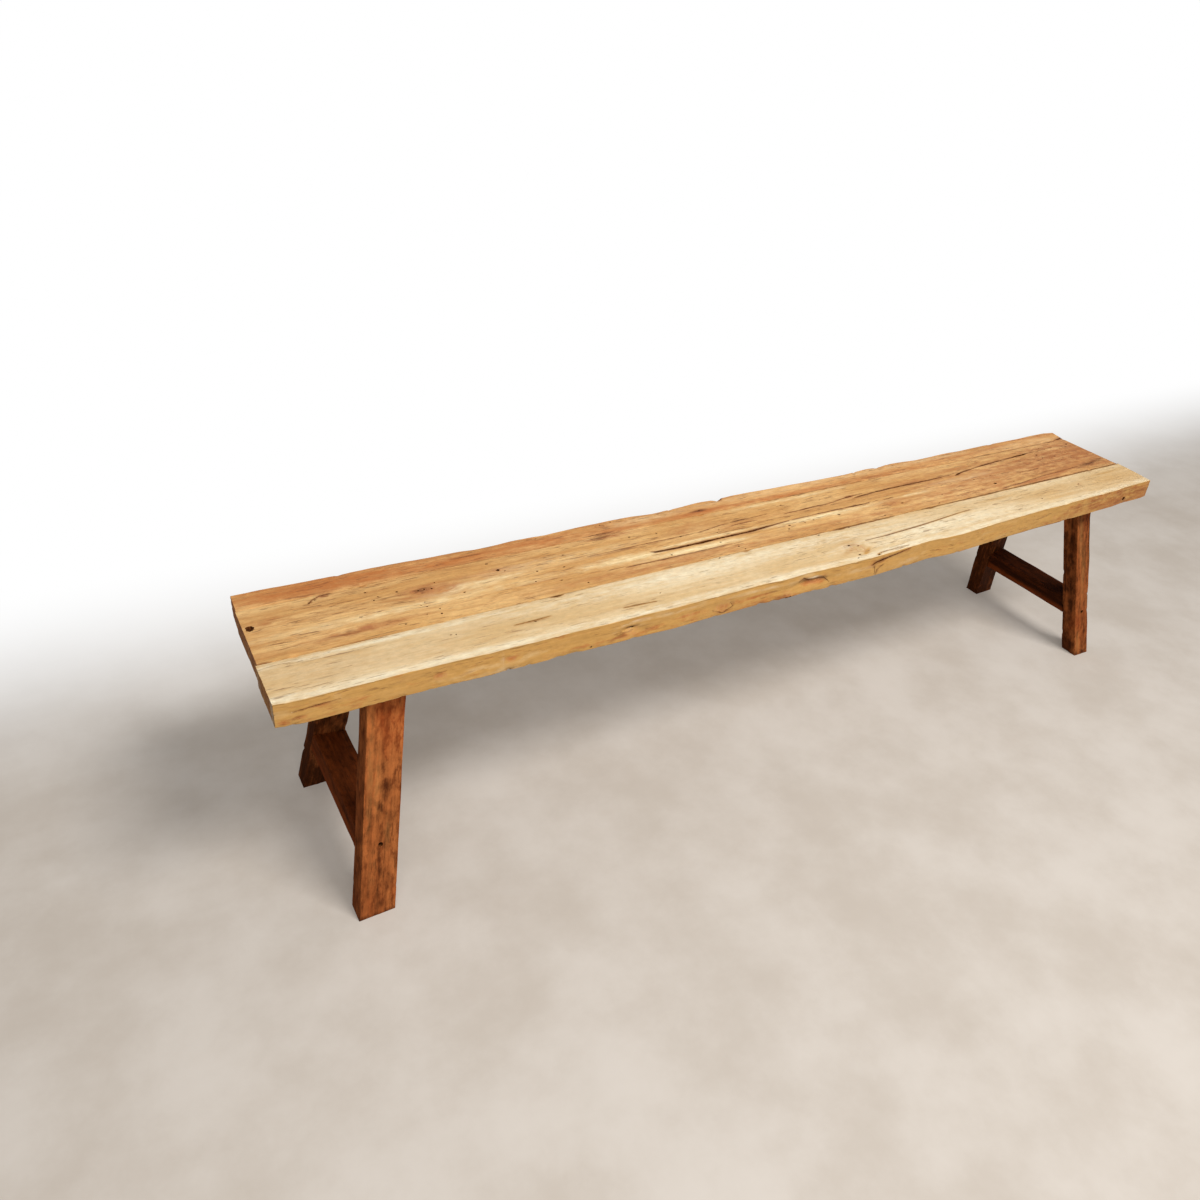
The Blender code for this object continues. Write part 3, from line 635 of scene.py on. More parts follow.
# Wood patterns: waves a metre along, across and up, then detail, roughness and shift
PATTERNS = {
    "sway": ((1.6, 9, 9), 3, 0.55, 0.0),
    "ripple": ((16, 130, 130), 4, 0.55, 3.1),
    "fibre": ((24, 300, 300), 5, 0.68, 1.7),
    "streak": ((6, 95, 95), 6, 0.70, 7.9),
    "broad": ((2.0, 26, 26), 5, 0.6, 11.3),
    "cloud": ((4.0, 17, 17), 4, 0.55, 5.3),
    "blotch": ((42, 95, 95), 5, 0.68, 9.1),
    "mottle": ((85, 170, 170), 5, 0.72, 15.8),
    "dash": ((30, 340, 340), 3, 0.6, 2.2),
    "dash_gaps": ((9, 70, 70), 3, 0.55, 13.7),
    "ring_gaps": ((3.0, 34, 34), 3, 0.55, 4.4),
}

# Between which of its values each pattern comes in
PATTERN_LIMITS = {
    "cloud": (0.36, 0.64),
    "broad": (0.42, 0.62),
    "streak": (0.46, 0.66),
    "blotch": (0.48, 0.68),
    "fibre": (0.42, 0.66),
    "dash": (0.56, 0.64),
    "dash_gaps": (0.42, 0.62),
    "ring_gaps": (0.38, 0.60),
}


def wood_coordinates(n, carried):
    """The wood's own coordinates, and the mesh's tones: warm, pale, dark and knot."""
    if not carried:
        x, y, z = n.split(n.add("TexCoord", output=3))
        return n.add("CombineXYZ", {0: y, 1: x, 2: z}), ()
    tone = n.tree.nodes.new("ShaderNodeAttribute")
    tone.attribute_name = "tone"
    tones = n.tree.nodes.new("ShaderNodeSeparateColor")
    n.tree.links.new(tone.outputs["Color"], tones.inputs[0])
    return n.add("Attribute", output=1, attribute_name="grain"), (*tones.outputs, tone.outputs["Alpha"])


def growth_rings(n, grain, look, sway, ripple):
    """The dark late wood of soft rings round the pith."""
    shift = n.times(sway, look["sway"])
    across, up = n.split(grain)[1:]
    across = n.plus(n.minus(across, look["pith"][0]), shift)
    up = n.plus(n.minus(up, look["pith"][1]), shift)
    radius = n.math("SQRT", n.plus(n.times(across, across), n.times(up, up)))
    radius = n.plus(radius, n.times(ripple, look["ripple"]))
    turn = n.math("FRACT", n.math("DIVIDE", radius, look["spacing"]))
    return n.times(n.fit(turn, *RING_RISE), n.minus(1.0, n.fit(turn, *RING_FALL)))


def tinted(n, colour, look, tones, rough_edge, ripple):
    """The wood's colour with the mesh's tints, whose edges are ragged, and its ringed knots."""
    warm, pale, dark, knot = tones
    for amount, target in ((warm, "warm"), (pale, "pale"), (dark, "stain")):
        ragged = n.times(rough_edge, n.fit(amount, *TINT_RAGGED_LIMITS))
        share = n.plus(amount, ragged)
        if target == "warm" and "olive" in look:
            base = n.plus(amount, n.times(ragged, OLIVE_RAGGED))
            colour = n.mix(n.fit(base, 0.0, OLIVE_FULL, smooth=False), colour, look["olive"])
            share = n.fit(share, OLIVE_END, 1.0, smooth=False)
        colour = n.mix(n.fit(share, *TINT_LIMITS, smooth=False), colour, look[target])
    eye = n.math("FRACT", n.plus(n.times(knot, KNOT_RINGS), n.times(ripple, KNOT_RINGS)))
    eye = n.times(n.fit(eye, *EYE_RING), n.fit(knot, *EYE_REACH))
    colour = n.mix(n.times(eye, EYE_STRENGTH), colour, look["eye"])
    return n.mix(n.fit(knot, *HEART_REACH), colour, look["knot"])


def wood_material(name, look, carried=True):
    """Solid wood with streaks, rings, fibres, dashes and blotches, tinted by tones that the mesh carries."""
    n = Nodes(name)
    grain, tones = wood_coordinates(n, carried)
    raw = {key: n.noise(grain, *settings) for key, settings in PATTERNS.items()}
    sway, ripple, fine, mottle = (n.minus(raw[key], 0.5) for key in ("sway", "ripple", "fibre", "mottle"))
    shown = {key: n.fit(raw[key], *limits) for key, limits in PATTERN_LIMITS.items()}
    shown["ring"] = n.times(growth_rings(n, grain, look, sway, ripple), shown["ring_gaps"])
    shown["dash"] = n.times(shown["dash"], shown["dash_gaps"])

    colour = n.mix(shown["cloud"], look["mid"], look["light"])
    for key in ("broad", "streak", "ring", "blotch"):
        colour = n.mix(n.times(shown[key], look[key]), colour, look["deep"])
    if carried:
        rough_edge = n.times(n.minus(n.plus(raw["streak"], raw["blotch"]), 1.0), TINT_RAGGED)
        colour = tinted(n, colour, look, tones, rough_edge, ripple)
    colour = n.mix(n.times(shown["fibre"], look["fibre"]), colour, look["deep"])
    colour = n.mix(n.times(shown["dash"], look["dash"]), colour, look["stain"])
    value = n.plus(1.0, n.times(mottle, look["mottle"]))
    value = n.plus(value, n.times(fine, look["mottle"] * FIBRE_BRIGHTNESS))
    colour = n.add("HueSaturation", {"Value": value, "Color": colour})

    rough = n.plus(look["rough"], n.times(fine, FIBRE_ROUGHNESS))
    rough = n.minus(rough, n.times(shown["ring"], RING_GLOSS))
    facing = n.split(n.add("NewGeometry", output=1))[0]
    end = n.fit(n.math("ABSOLUTE", facing), *END_FACING)
    rough = n.plus(rough, n.times(end, END_ROUGHNESS))
    height = n.plus(n.times(raw["fibre"], FIBRE_RELIEF), n.times(shown["ring"], RING_RELIEF))
    height = n.minus(height, n.times(shown["dash"], DASH_RELIEF))
    return n.surface(colour, rough, height, look["relief"], **{"Specular IOR Level": look["gloss"]})


def bared_material(name):
    """The rough wood inside cracks and worm holes, dark both as wood and as painted shade inside them."""
    n = Nodes(name)
    speck = n.noise(n.add("TexCoord", output=3), (300, 300, 300), 3)
    dark = tuple(part * BARED_DARK_SHARE for part in BARED_COLOUR_AND_SHADE)
    shade = n.mix(n.fit(speck, 0.3, 0.7), dark, BARED_COLOUR_AND_SHADE)
    return n.surface(shade, 0.95, speck, 0.0003, **{"Specular IOR Level": 0.02})


def steel_material(name):
    n = Nodes(name)
    place = n.add("TexCoord", output=3)
    rust = n.fit(n.noise(place, (420, 420, 420), 4, 0.6), 0.5, 0.68)
    fine = n.noise(place, (2600, 2600, 2600), 2)
    colour = n.mix(rust, STEEL_COLOUR, RUST_COLOUR)
    rough = n.plus(0.5, n.times(rust, 0.4))
    return n.surface(colour, rough, fine, 0.00006, **{"Metallic": 0.85})


def blobs(points, table):
    """The strongest of several soft oval patches of (x, y, half length, half width, slope, strength)."""
    total = np.zeros(len(points))
    for x, y, half_length, half_width, slope, strength in table:
        dx = points[:, 0] - x
        dy = points[:, 1] - y - dx * slope
        total = np.maximum(total, strength * np.exp(-((dx / half_length) ** 2) - (dy / half_width) ** 2))
    return total


def knot_field(points, table):
    """How near each point is to a knot's heart, and how far the knots push the grain aside."""
    heart = np.zeros(len(points))
    push = np.zeros(len(points))
    for x, y, radius, length, strength in table:
        dx = (points[:, 0] - x) / length
        dy = (points[:, 1] - y) / radius
        around = np.exp(-(dx ** 2))
        push += radius * around * dy / (np.abs(dy) + KNOT_SOFTNESS) * np.exp(-np.abs(dy) / KNOT_FADE)
        spread = (dx * length / radius / HEART_LENGTH) ** 2 + dy ** 2
        heart = np.maximum(heart, strength * np.exp(-HEART_FALL * spread))
    return heart, push


# The seat's boards. Corner setbacks and edge waves are shares, as on the plain solids.
FRONT_WAVE = (
    (0.0, 0.77), (0.02, 0.555), (0.06, 0.55), (0.1, 0.545), (0.13, 0.47), (0.16, 0.34), (0.2, 0.31),
    (0.225, 0.32), (0.27, 0.215), (0.3, 0.23), (0.33, 0.115), (0.36, 0.18), (0.4, 0.175), (0.425, 0.205),
    (0.45, 0.06), (0.4725, 0.17), (0.49, 0.07), (0.525, 0.03), (0.555, 0.0), (0.585, 0.115), (0.61, 0.23),
    (0.63, 0.34), (0.65, 0.18), (0.6725, 0.09), (0.71, 0.275), (0.755, 0.445), (0.8, 0.545), (0.83, 0.535),
    (0.9, 0.695), (0.925, 0.725), (0.94, 0.885), (0.98, 0.91), (1.0, 1.0),
)
REAR_WAVE = (
    (0.0, 0.0), (0.04, 0.04), (0.07, 0.2), (0.11, 0.13), (0.15, 0.22), (0.175, 0.37), (0.2, 0.43),
    (0.2125, 0.78), (0.2275, 0.74), (0.25, 0.52), (0.27, 0.55), (0.285, 0.71), (0.31, 0.48), (0.33, 0.35),
    (0.35, 0.29), (0.38, 0.39), (0.4, 0.85), (0.43, 0.65), (0.445, 0.43), (0.46, 0.26), (0.474, 0.4),
    (0.479, 1.0), (0.486, 0.35), (0.5, 0.22), (0.525, 0.29), (0.55, 0.46), (0.575, 0.48), (0.61, 0.73),
    (0.65, 0.74), (0.685, 0.46), (0.705, 0.6), (0.7175, 0.22), (0.735, 0.35), (0.76, 0.72), (0.785, 0.68),
    (0.81, 0.5), (0.83, 0.65), (0.87, 0.45), (0.9, 0.46), (0.935, 0.5), (0.97, 0.39), (1.0, 0.39),
)
NO_WAVE = ((0.0, 0.0), (1.0, 0.0))

BOARDS = {
    "board_front": {
        "slot": "wood_straw",
        "ends": (0.0, 0.0, 1.0, 0.5),
        "front": FRONT_WAVE,
        "rear": NO_WAVE,
        "radii": (0.0017, 0.0005, 0.0010, 0.0006),
        "seed": 11,
    },
    "board_middle": {
        "slot": "wood_golden",
        "ends": (0.12, 0.15, 0.72, 0.66),
        "front": NO_WAVE,
        "rear": NO_WAVE,
        "radii": (0.0006, 0.0005, 0.0006, 0.0006),
        "seed": 23,
    },
    "board_rear": {
        "slot": "wood_tan",
        "ends": (0.2, 0.26, 0.62, 0.0),
        "worn_corner": 0.005,
        "front": NO_WAVE,
        "rear": REAR_WAVE,
        "radii": (0.0005, 0.0018, 0.0006, 0.0018),
        "seed": 37,
    },
}

# In the tables given to metres and patches, lengths are in millimetres, and slopes and strengths are shares

# Where the seams between the boards stand open at the top: x from, x to, width
SEAMS = metres({
    "board_front": (
        (90, 275, 1.3), (320, 1000, 2.2), (-560, -420, 0.7),
    ),
    "board_middle": (
        (90, 275, 0.8), (320, 1000, 1),
    ),
    "board_rear": (
        (100, 400, 0.6), (660, 970, 0.9), (-800, -550, 0.4),
    ),
})

# Worm holes in the seat: x, y, radius along the grain, radius across, depth
HOLES = metres({
    "board_middle": (
        (-795, 80, 1.8, 1.7, 9), (-780, 60, 1.5, 1.4, 8), (-789, 52, 2.2, 1.4, 7), (-747, 63, 2.2, 2, 10),
        (-714, 52, 2.6, 2.2, 10), (-703, 53, 1.9, 1.8, 10), (-691, 50, 1.9, 2.2, 8),
        (-680, 66, 1.4, 1.4, 6), (-575, 89, 3.2, 1.6, 8), (-565, 62.5, 3.6, 3.3, 14),
        (-555, 55.5, 2, 1.5, 8), (-503, 33, 2.1, 1.9, 10), (-452, 28, 2.4, 1.8, 9), (-520, 3, 1.7, 1.6, 8),
        (-717, 1, 1.4, 1.4, 7), (-700, -12, 1.5, 1.5, 8), (-703, -27, 1.8, 2.2, 8),
        (-725, -20, 1.3, 1.3, 6), (-725, 8, 1.2, 1.2, 6), (-716, 15, 1.2, 1.2, 6), (-765, -33, 1.9, 1.4, 6),
        (-645, 18, 3, 1.3, 5), (-823, 13, 3.4, 1.3, 5), (-477, -10, 2.6, 1.5, 8), (-438, -35, 1.7, 1.5, 6),
        (-436, 66, 2, 1.2, 4), (-250, -10, 2, 1.7, 6), (-289, 78, 2.6, 1.7, 8), (-232, 72, 2, 1.7, 8),
        (-196, 43, 3.4, 1.5, 8), (-120, 30, 1.5, 1.4, 6), (-111, 37, 1.3, 1.3, 6), (-137, -5, 2.1, 1.5, 7),
        (-113, -31, 1.9, 1.8, 10), (-107, -44, 2, 1.5, 8), (33, -1, 2.8, 1.8, 10), (23, -12, 2, 1.6, 9),
        (72, 77, 2.4, 1.3, 6), (160, -1.5, 3.4, 2, 11), (95, 0, 2.4, 1.3, 7), (71, -3, 2, 1.3, 6),
        (166, 66, 2, 1, 4), (250, -41, 2.4, 1.3, 6), (326, -12, 3, 2.2, 10), (404, -42, 3, 1.4, 7),
        (441, -14, 1.8, 1.2, 5), (571, 15, 2.4, 1.6, 7), (624, 15, 1.9, 1.2, 5), (603, -18, 4.2, 3, 14),
        (832, 58, 3, 1.8, 9), (832, 40, 2.6, 1.4, 7), (871, 37, 2.8, 1.6, 8), (918, 44, 2.6, 1.4, 7),
        (872, 85, 2, 1.2, 5), (966, 78, 3.4, 2, 9), (655, -26, 2.8, 1.2, 5), (-886, 84, 2.2, 1.4, 6),
        (-875, 90, 2.4, 1.3, 5),
    ),
    "board_front": (
        (-712, -89, 1.2, 1.2, 4), (-704, -91, 1.3, 1.3, 4), (-574, -107, 2.6, 1.2, 4),
        (-340, -113, 2.2, 1, 4), (89, -111, 3, 2, 7), (106, -119, 3.4, 1.5, 6), (85, -146.5, 3, 1.6, 6),
        (790, -93, 2.8, 1.4, 6), (643, -113, 2.2, 1.4, 4), (-173, -53.5, 2.4, 1.4, 6),
        (74, -155.5, 3, 1.2, 4), (121, -161.2, 3.2, 1.8, 6), (62, -54.5, 3, 1.6, 7),
        (140, -53.5, 2.6, 1.2, 5),
    ),
    "board_rear": (
        (-455, 138, 2.2, 1.2, 4), (-318, 140, 2, 1.2, 5), (-293, 143, 2.2, 1.2, 5), (-102, 119, 3, 1.2, 5),
    ),
})

# Cracks in the seat's top: depth, then x, y, width along the line
CRACKS = metres({
    "board_middle": (
        (16, ((-282, 16.5, 0.4), (-272, 10.5, 3.4), (-235, 8.5, 4.2), (-170, 8, 5.2), (-100, 8.5, 4.4),
              (-45, 9, 4.2), (-22, 12, 2.4), (12, 14, 1.2), (45, 16, 0.5))),
        (7, ((55, 16.5, 0.5), (120, 17.2, 0.9), (200, 16.5, 1.2), (215, 16, 2.4), (248, 16, 2),
             (262, 18, 0.4))),
        (8, ((55, 43, 0.4), (100, 44.5, 1.2), (130, 46.5, 2), (155, 45, 0.8), (190, 47, 0.8), (215, 52, 1),
             (238, 54, 3), (252, 54.5, 0.6), (275, 56, 0.4))),
        (11, ((238, 44.5, 0.4), (262, 47.5, 2.2), (300, 50.5, 2.2), (360, 52, 2.4), (420, 52, 2.2),
              (480, 51.5, 1.8), (530, 53, 0.8), (552, 56, 0.4))),
        (13, ((548, 47, 1.4), (556, 50, 4), (575, 54.5, 2.2), (610, 59, 1.4), (660, 64, 2.2), (700, 67, 2),
              (740, 69, 1.2), (762, 70, 2), (772, 71, 5.2), (800, 71.8, 5), (812, 74.5, 1.8),
              (850, 74.5, 0.8), (910, 76, 0.4))),
        (6, ((-350, -16, 0.3), (-310, -17.5, 1), (-250, -18, 0.9), (-190, -18, 0.9), (-120, -18, 0.3))),
        (5, ((-390, 44, 0.3), (-280, 44, 0.8), (-200, 43.2, 1), (-150, 44, 0.9), (-90, 53, 0.8),
             (-20, 54.5, 1), (20, 56, 0.3))),
        (5, ((-120, 24.5, 0.3), (-80, 25, 0.9), (-40, 24, 0.3))),
        (5, ((-75, 42, 0.3), (-40, 43.5, 0.9), (-15, 42, 0.3))),
        (7, ((-897, 81.5, 0.3), (-888, 80, 0.9), (-880, 90.5, 1.2), (-868, 97.5, 1.2), (-856, 99, 1.2),
             (-848, 101, 0.3))),
        (5, ((-865, 101, 0.4), (-862, 96, 1), (-852, 93, 0.3))),
        (6, ((300, 16, 0.3), (315, 16.5, 1.2), (330, 16, 0.3))),
        (5, ((600, -43, 0.3), (660, -39, 0.9), (740, -31, 0.9), (830, -27, 0.8), (920, -23, 0.6),
             (960, -20, 0.3))),
        (5, ((700, 6, 0.3), (740, 1, 0.8), (770, 3, 0.3))),
    ),
    "board_front": (
        (7, ((135, -108, 0.3), (180, -107.5, 0.8), (220, -105.5, 1.4), (280, -103, 1.3), (340, -98.5, 1),
             (400, -93.5, 0.6), (440, -91, 0.3))),
        (4, ((119, -161, 0.8), (125, -157.2, 1.2), (145, -155, 0.8), (205, -154.8, 0.3))),
        (4, ((-610, -104, 0.3), (-570, -103.5, 0.9), (-545, -102, 0.3))),
        (4, ((-420, -129, 0.3), (-390, -131, 0.7), (-360, -133, 0.3))),
        (6, ((-520, -52.5, 0.6), (-508, -53.5, 3.4), (-495, -52.5, 0.6))),
    ),
    "board_rear": (
        (8, ((-41, 144, 2), (-36, 143, 3.4), (-28, 147, 1.6))),
        (5, ((-370, 108, 0.3), (-340, 110, 1.2), (-320, 108.5, 0.3))),
        (6, ((955, 106, 0.4), (972, 107.5, 3), (988, 110, 3))),
        (4, ((-620, 126, 0.3), (-590, 127, 1), (-575, 126, 0.3))),
    ),
})

# Knots in the boards' tops: x, y, radius across, reach along, strength
KNOTS = patches({
    "board_middle": (
        (-672, 43, 14, 60, 0.55), (-720, 52, 10, 40, 0.6), (-862, 97, 5, 30, 0.7), (300, -4, 8, 40, 0.65),
        (-825, -18, 7, 50, 0.5), (236, 52, 4, 30, 0.85), (940, -19, 4, 40, 0.6), (-565, 62, 4, 30, 0.8),
    ),
    "board_front": (
        (98, -122, 12, 50, 0.5), (82, -112, 6, 30, 0.55), (100, -132, 8, 50, 0.55), (790, -94, 5, 25, 0.5),
        (690, -116, 5, 30, 0.45),
    ),
    "board_rear": (
        (-320, 136, 8, 45, 0.6), (-106, 118, 4, 30, 0.9), (360, 112, 4, 40, 0.6),
    ),
})

# Tints of the boards' tops: x, y, half length, half width, slope, strength
WARM = patches({
    "board_middle": (
        (-830, -20, 75, 11, 0.03, 0.7), (-690, 44, 50, 20, -0.1, 0.75), (-960, 55, 30, 20, 0, 0.35),
        (-200, -32, 260, 12, 0, 0.5), (-330, 94, 50, 6, 0, 0.95), (-160, 70, 60, 20, 0.3, 0.4),
        (310, -5, 50, 12, 0, 0.6), (500, -12, 140, 14, 0, 0.55), (200, -30, 200, 16, 0, 0.35),
        (800, -30, 200, 14, 0.12, 0.85), (930, 10, 70, 20, 0, 0.6), (930, 62, 40, 10, 0, 0.6),
        (236, 53, 20, 6, 0, 0.8), (750, 82, 50, 8, 0, 0.5), (950, -38, 60, 6, 0, 0.7),
        (-50, 45, 100, 12, 0, 0.35), (950, 30, 340, 100, 0, 0.78), (600, 20, 220, 70, 0, 0.6),
        (660, 45, 100, 12, 0, 0.65), (550, -30, 160, 10, 0.05, 0.6), (430, 60, 90, 10, 0, 0.5),
        (-550, 60, 100, 16, 0, 0.35),
    ),
    "board_front": (
        (95, -118, 40, 20, 0, 0.2), (80, -80, 50, 4, -0.2, 0.26), (-800, -105, 350, 40, 0, 0.07),
        (680, -95, 120, 14, 0, 0.1), (-930, -95, 140, 45, 0, 0.13), (950, -100, 160, 50, 0, 0.13),
        (95, -100, 30, 10, 0.1, 0.22), (75, -128, 24, 7, 0.3, 0.45), (108, -142, 14, 5, 0.6, 0.6),
        (900, -75, 50, 4, 0, 0.28), (700, -120, 100, 6, 0, 0.16), (550, -75, 50, 4, 0, 0.18),
    ),
    "board_rear": (
        (-840, 130, 170, 26, 0, 0.95), (-620, 122, 160, 14, 0, 0.9), (-440, 125, 80, 18, -0.1, 0.8),
        (-100, 112, 120, 9, 0, 0.85), (120, 112, 200, 8, 0, 0.75), (400, 110, 160, 9, 0, 0.6),
        (770, 131, 30, 6, 0, 0.7), (-310, 112, 80, 8, 0, 0.6), (600, 125, 100, 8, 0, 0.45),
        (920, 140, 80, 8, 0, 0.5),
    ),
})
PALE = patches({
    "board_middle": (
        (-720, 10, 260, 10, 0, 0.5), (-600, 34, 90, 12, 0.05, 0.6), (-340, 10, 90, 11, 0, 0.95),
        (-190, -8, 100, 8, 0, 0.95), (-160, 19, 140, 4, 0, 0.7), (130, 7, 130, 8, 0, 0.9),
        (380, 12, 50, 4, 0, 0.7), (100, 94, 160, 6, 0, 0.5), (-450, 55, 150, 16, 0, 0.3),
        (550, 30, 100, 10, 0, 0.3),
    ),
    "board_front": (
        (-800, -60, 280, 7, 0, 0.6), (-150, -75, 420, 22, 0, 0.55), (300, -120, 250, 22, 0, 0.6),
    ),
    "board_rear": (
        (300, 136, 450, 10, 0, 0.45), (860, 118, 120, 16, 0, 0.45), (-220, 130, 80, 12, 0, 0.5),
    ),
})
DARK = patches({
    "board_middle": (
        (930, -21, 55, 7, 0.15, 0.95), (-340, 96, 22, 4, 0, 0.9), (-988, -48, 10, 3.5, 0, 0.8),
        (900, 20, 300, 100, 0, 0.15), (740, -20, 100, 4, 0.06, 0.5), (-705, 52, 22, 6, 0, 0.5),
        (-860, 99, 14, 3, 0.3, 0.7), (-855, -24, 30, 3, 0, 0.5), (300, -6, 20, 4, 0.3, 0.45),
        (-800, 50, 120, 2.5, 0, 0.45), (-300, 40, 100, 2, 0, 0.35),
    ),
    "board_front": (
        (95, -112, 12, 4, 0, 0.4), (85, -148, 6, 5, 0, 0.35), (-508, -52.5, 12, 3, 0, 0.8),
        (-570, -106, 30, 2, 0, 0.3),
    ),
    "board_rear": (
        (-106, 119, 18, 4, 0, 0.9), (-330, 107, 30, 4, 0, 0.8), (360, 111, 30, 5, 0, 0.45),
        (-600, 127, 40, 3, 0, 0.5), (-450, 133, 50, 3, -0.25, 0.4), (-900, 108, 100, 3, 0, 0.4),
    ),
})

# The front face: knots and tints by x and height
FACE_KNOTS = patches((
    (-34, 431, 7, 45, 0.8), (-241, 425, 8, 30, 0.8), (-420, 424, 6, 40, 0.7), (-95, 418, 5, 35, 0.6),
    (-310, 428, 5, 40, 0.5), (-755, 428, 6, 30, 0.5), (891, 421, 4, 25, 0.7), (-640, 428, 6, 30, 0.4),
    (640, 424, 5, 30, 0.4),
))
FACE_WARM = patches((
    (-985, 417, 16, 7, 0, 1), (-940, 433.5, 34, 2.5, 0.05, 1), (-965, 419, 14, 6, 0, 0.9),
    (-755, 431, 18, 8, 0, 0.8), (-640, 431, 22, 8, 0, 0.8), (-560, 447, 20, 3, 0, 0.8),
    (-448, 419, 22, 4.5, 0.1, 1), (-375, 420, 26, 6, 0.1, 1), (-320, 427, 60, 5, 0, 0.95),
    (-241, 425, 28, 11, 0, 0.85), (-170, 428, 50, 6, 0, 0.9), (-95, 414, 40, 7, 0, 0.95),
    (-40, 427, 48, 9, 0, 1), (10, 423, 24, 7, 0, 0.8), (185, 445, 35, 3.5, 0.1, 0.9),
    (800, 426, 140, 14, 0, 0.9), (-880, 425, 30, 3.5, 0.1, 0.75), (-700, 419, 22, 4, 0.1, 0.75),
    (-800, 434, 40, 2.5, 0, 0.7), (-520, 420, 30, 5, 0, 0.8), (340, 430, 40, 3.5, 0, 0.7),
    (470, 422, 35, 4, 0.1, 0.7), (600, 438, 45, 3.5, 0, 0.75), (260, 416, 40, 3, 0, 0.65),
    (90, 420, 30, 5, 0, 0.7), (700, 425, 40, 6, 0, 0.75), (950, 430, 60, 16, 0, 1),
))
FACE_PALE = patches((
    (-360, 440, 100, 4, 0, 0.16), (-430, 440, 30, 2.5, 0.1, 0.28), (-150, 439, 90, 3.5, 0, 0.18),
    (-38, 438, 12, 2.2, 0, 0.8), (60, 430, 60, 6, 0, 0.14), (200, 420, 60, 6, 0, 0.14),
    (-655, 426, 5, 20, 0, 0.16), (-460, 429, 20, 3, 0.2, 0.16),
))
FACE_DARK = patches((
    (-423, 430.5, 10, 2.5, 0.2, 0.95), (-365, 417.5, 12, 2.2, 0.1, 0.6), (-455, 416.5, 12, 2, 0.1, 0.5),
    (-241, 412.5, 18, 1.4, 0.2, 0.5), (-218, 424, 3, 7, 0, 0.5), (-60, 437, 12, 2.2, -0.3, 0.7),
    (-18, 433, 14, 2.5, -0.1, 0.85), (-95, 410.5, 12, 1.8, 0, 0.8), (170, 444, 40, 1.8, 0.1, 0.6),
    (891, 420.7, 11, 5.4, 0, 0.95), (-940, 433.8, 30, 1.2, 0.05, 0.6), (-970, 421.5, 14, 1.4, 0.2, 0.5),
    (-645, 410.5, 9, 2, 0, 0.8), (-825, 437.2, 10, 1.6, 0, 0.5), (-500, 414, 3, 1.8, 0, 0.7),
    (-565, 448, 14, 1.4, -0.1, 0.5), (960, 444, 30, 4, 0, 0.3), (600, 410, 100, 1.8, 0, 0.35),
    (900, 418, 50, 6, 0, 0.4), (780, 434, 50, 1.6, 0, 0.45), (940, 430, 90, 16, 0, 0.36),
    (860, 442, 40, 2, 0, 0.4), (680, 428, 30, 1.4, 0, 0.35), (-448, 421.5, 12, 1.4, 0.2, 0.5),
    (-400, 428.5, 16, 1.4, 0, 0.4), (-300, 432, 40, 1.2, 0, 0.3), (-452, 418, 18, 4.5, 0.1, 0.4),
    (-385, 420.5, 20, 4.5, 0, 0.35), (-45, 430, 22, 4, 0, 0.45), (-110, 416, 22, 3.5, 0, 0.35),
    (920, 437, 16, 2.8, 0, 0.45), (955, 424, 18, 3, 0.1, 0.5), (800, 427, 150, 16, 0, 0.28),
    (640, 418, 60, 6, 0, 0.16), (975, 439, 10, 4, 0, 0.5), (850, 429, 14, 2.2, 0, 0.45),
    (-690, 424, 16, 1.8, 0.2, 0.45), (-780, 424, 16, 1.6, 0.1, 0.4), (-600, 433, 20, 1.6, 0.1, 0.4),
    (-545, 427, 12, 2.4, 0.3, 0.4),
))

# Holes in the front face: x, height, radius along, radius across, depth
FACE_HOLES = metres((
    (891, 421, 5, 3.6, 13), (-423, 430, 6, 1.8, 7), (-645, 410, 4, 1.2, 3), (-100, 410.8, 2.6, 1, 3),
    (-90, 411, 2.2, 1, 3), (-500, 414, 1.6, 1.2, 4),
))

# Splits in the front face: depth, then x, height, width along the line
FACE_CRACKS = metres((
    (9, ((104, 434.5, 1.2), (112, 436.5, 3.4), (132, 439.1, 3.4), (158, 442.1, 1.6), (205, 447, 0.3))),
    (6, ((-72, 434.5, 0.6), (-62, 441, 1.6), (-50, 434.8, 2.2), (-40, 433.8, 1.2), (-26, 435.7, 2.6),
         (-14, 433.3, 2.2), (0, 421, 0.4))),
    (3, ((107, 434.5, 0.4), (111, 423, 0.8), (112, 411.8, 0.4))),
    (3, ((133, 428.3, 0.4), (117, 422, 0.9), (117, 410.5, 0.4))),
    (3, ((-975, 431, 0.4), (-940, 434.5, 0.9), (-905, 435, 0.3))),
    (3, ((-262, 423, 0.3), (-240, 413, 0.8), (-218, 422, 0.8), (-225, 432, 0.3))),
))

# Hollows in the front face: x, height above the lower arris, reach along, reach up, depth
FACE_DENTS = metres((
    (-423, 20, 12, 4.2, 5.2), (-400, 14, 50, 7, 1.8), (-33, 21, 30, 5, 4.2), (-60, 15, 60, 7, 1.6),
    (-241, 16, 20, 8, 1.5), (-645, 1, 10, 4, 2), (160, 28, 40, 5, 1.4),
))


def along_table(table, share):
    return np.interp(share, [row[0] for row in table], [row[1] for row in table])


def front_edge_y(x):
    """How far forward the seat's front edge stands."""
    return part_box("board_front")[0].y + FRONT_EDGE_WAVE * along_table(FRONT_WAVE, x / TOP_LENGTH + 0.5)


def along_arrises(points, size):
    """Places for a noise that runs along each long arris by itself."""
    return points * np.array((1, 0, 0)) + (points / np.array(size)).round() * np.array((0, 3, 7))


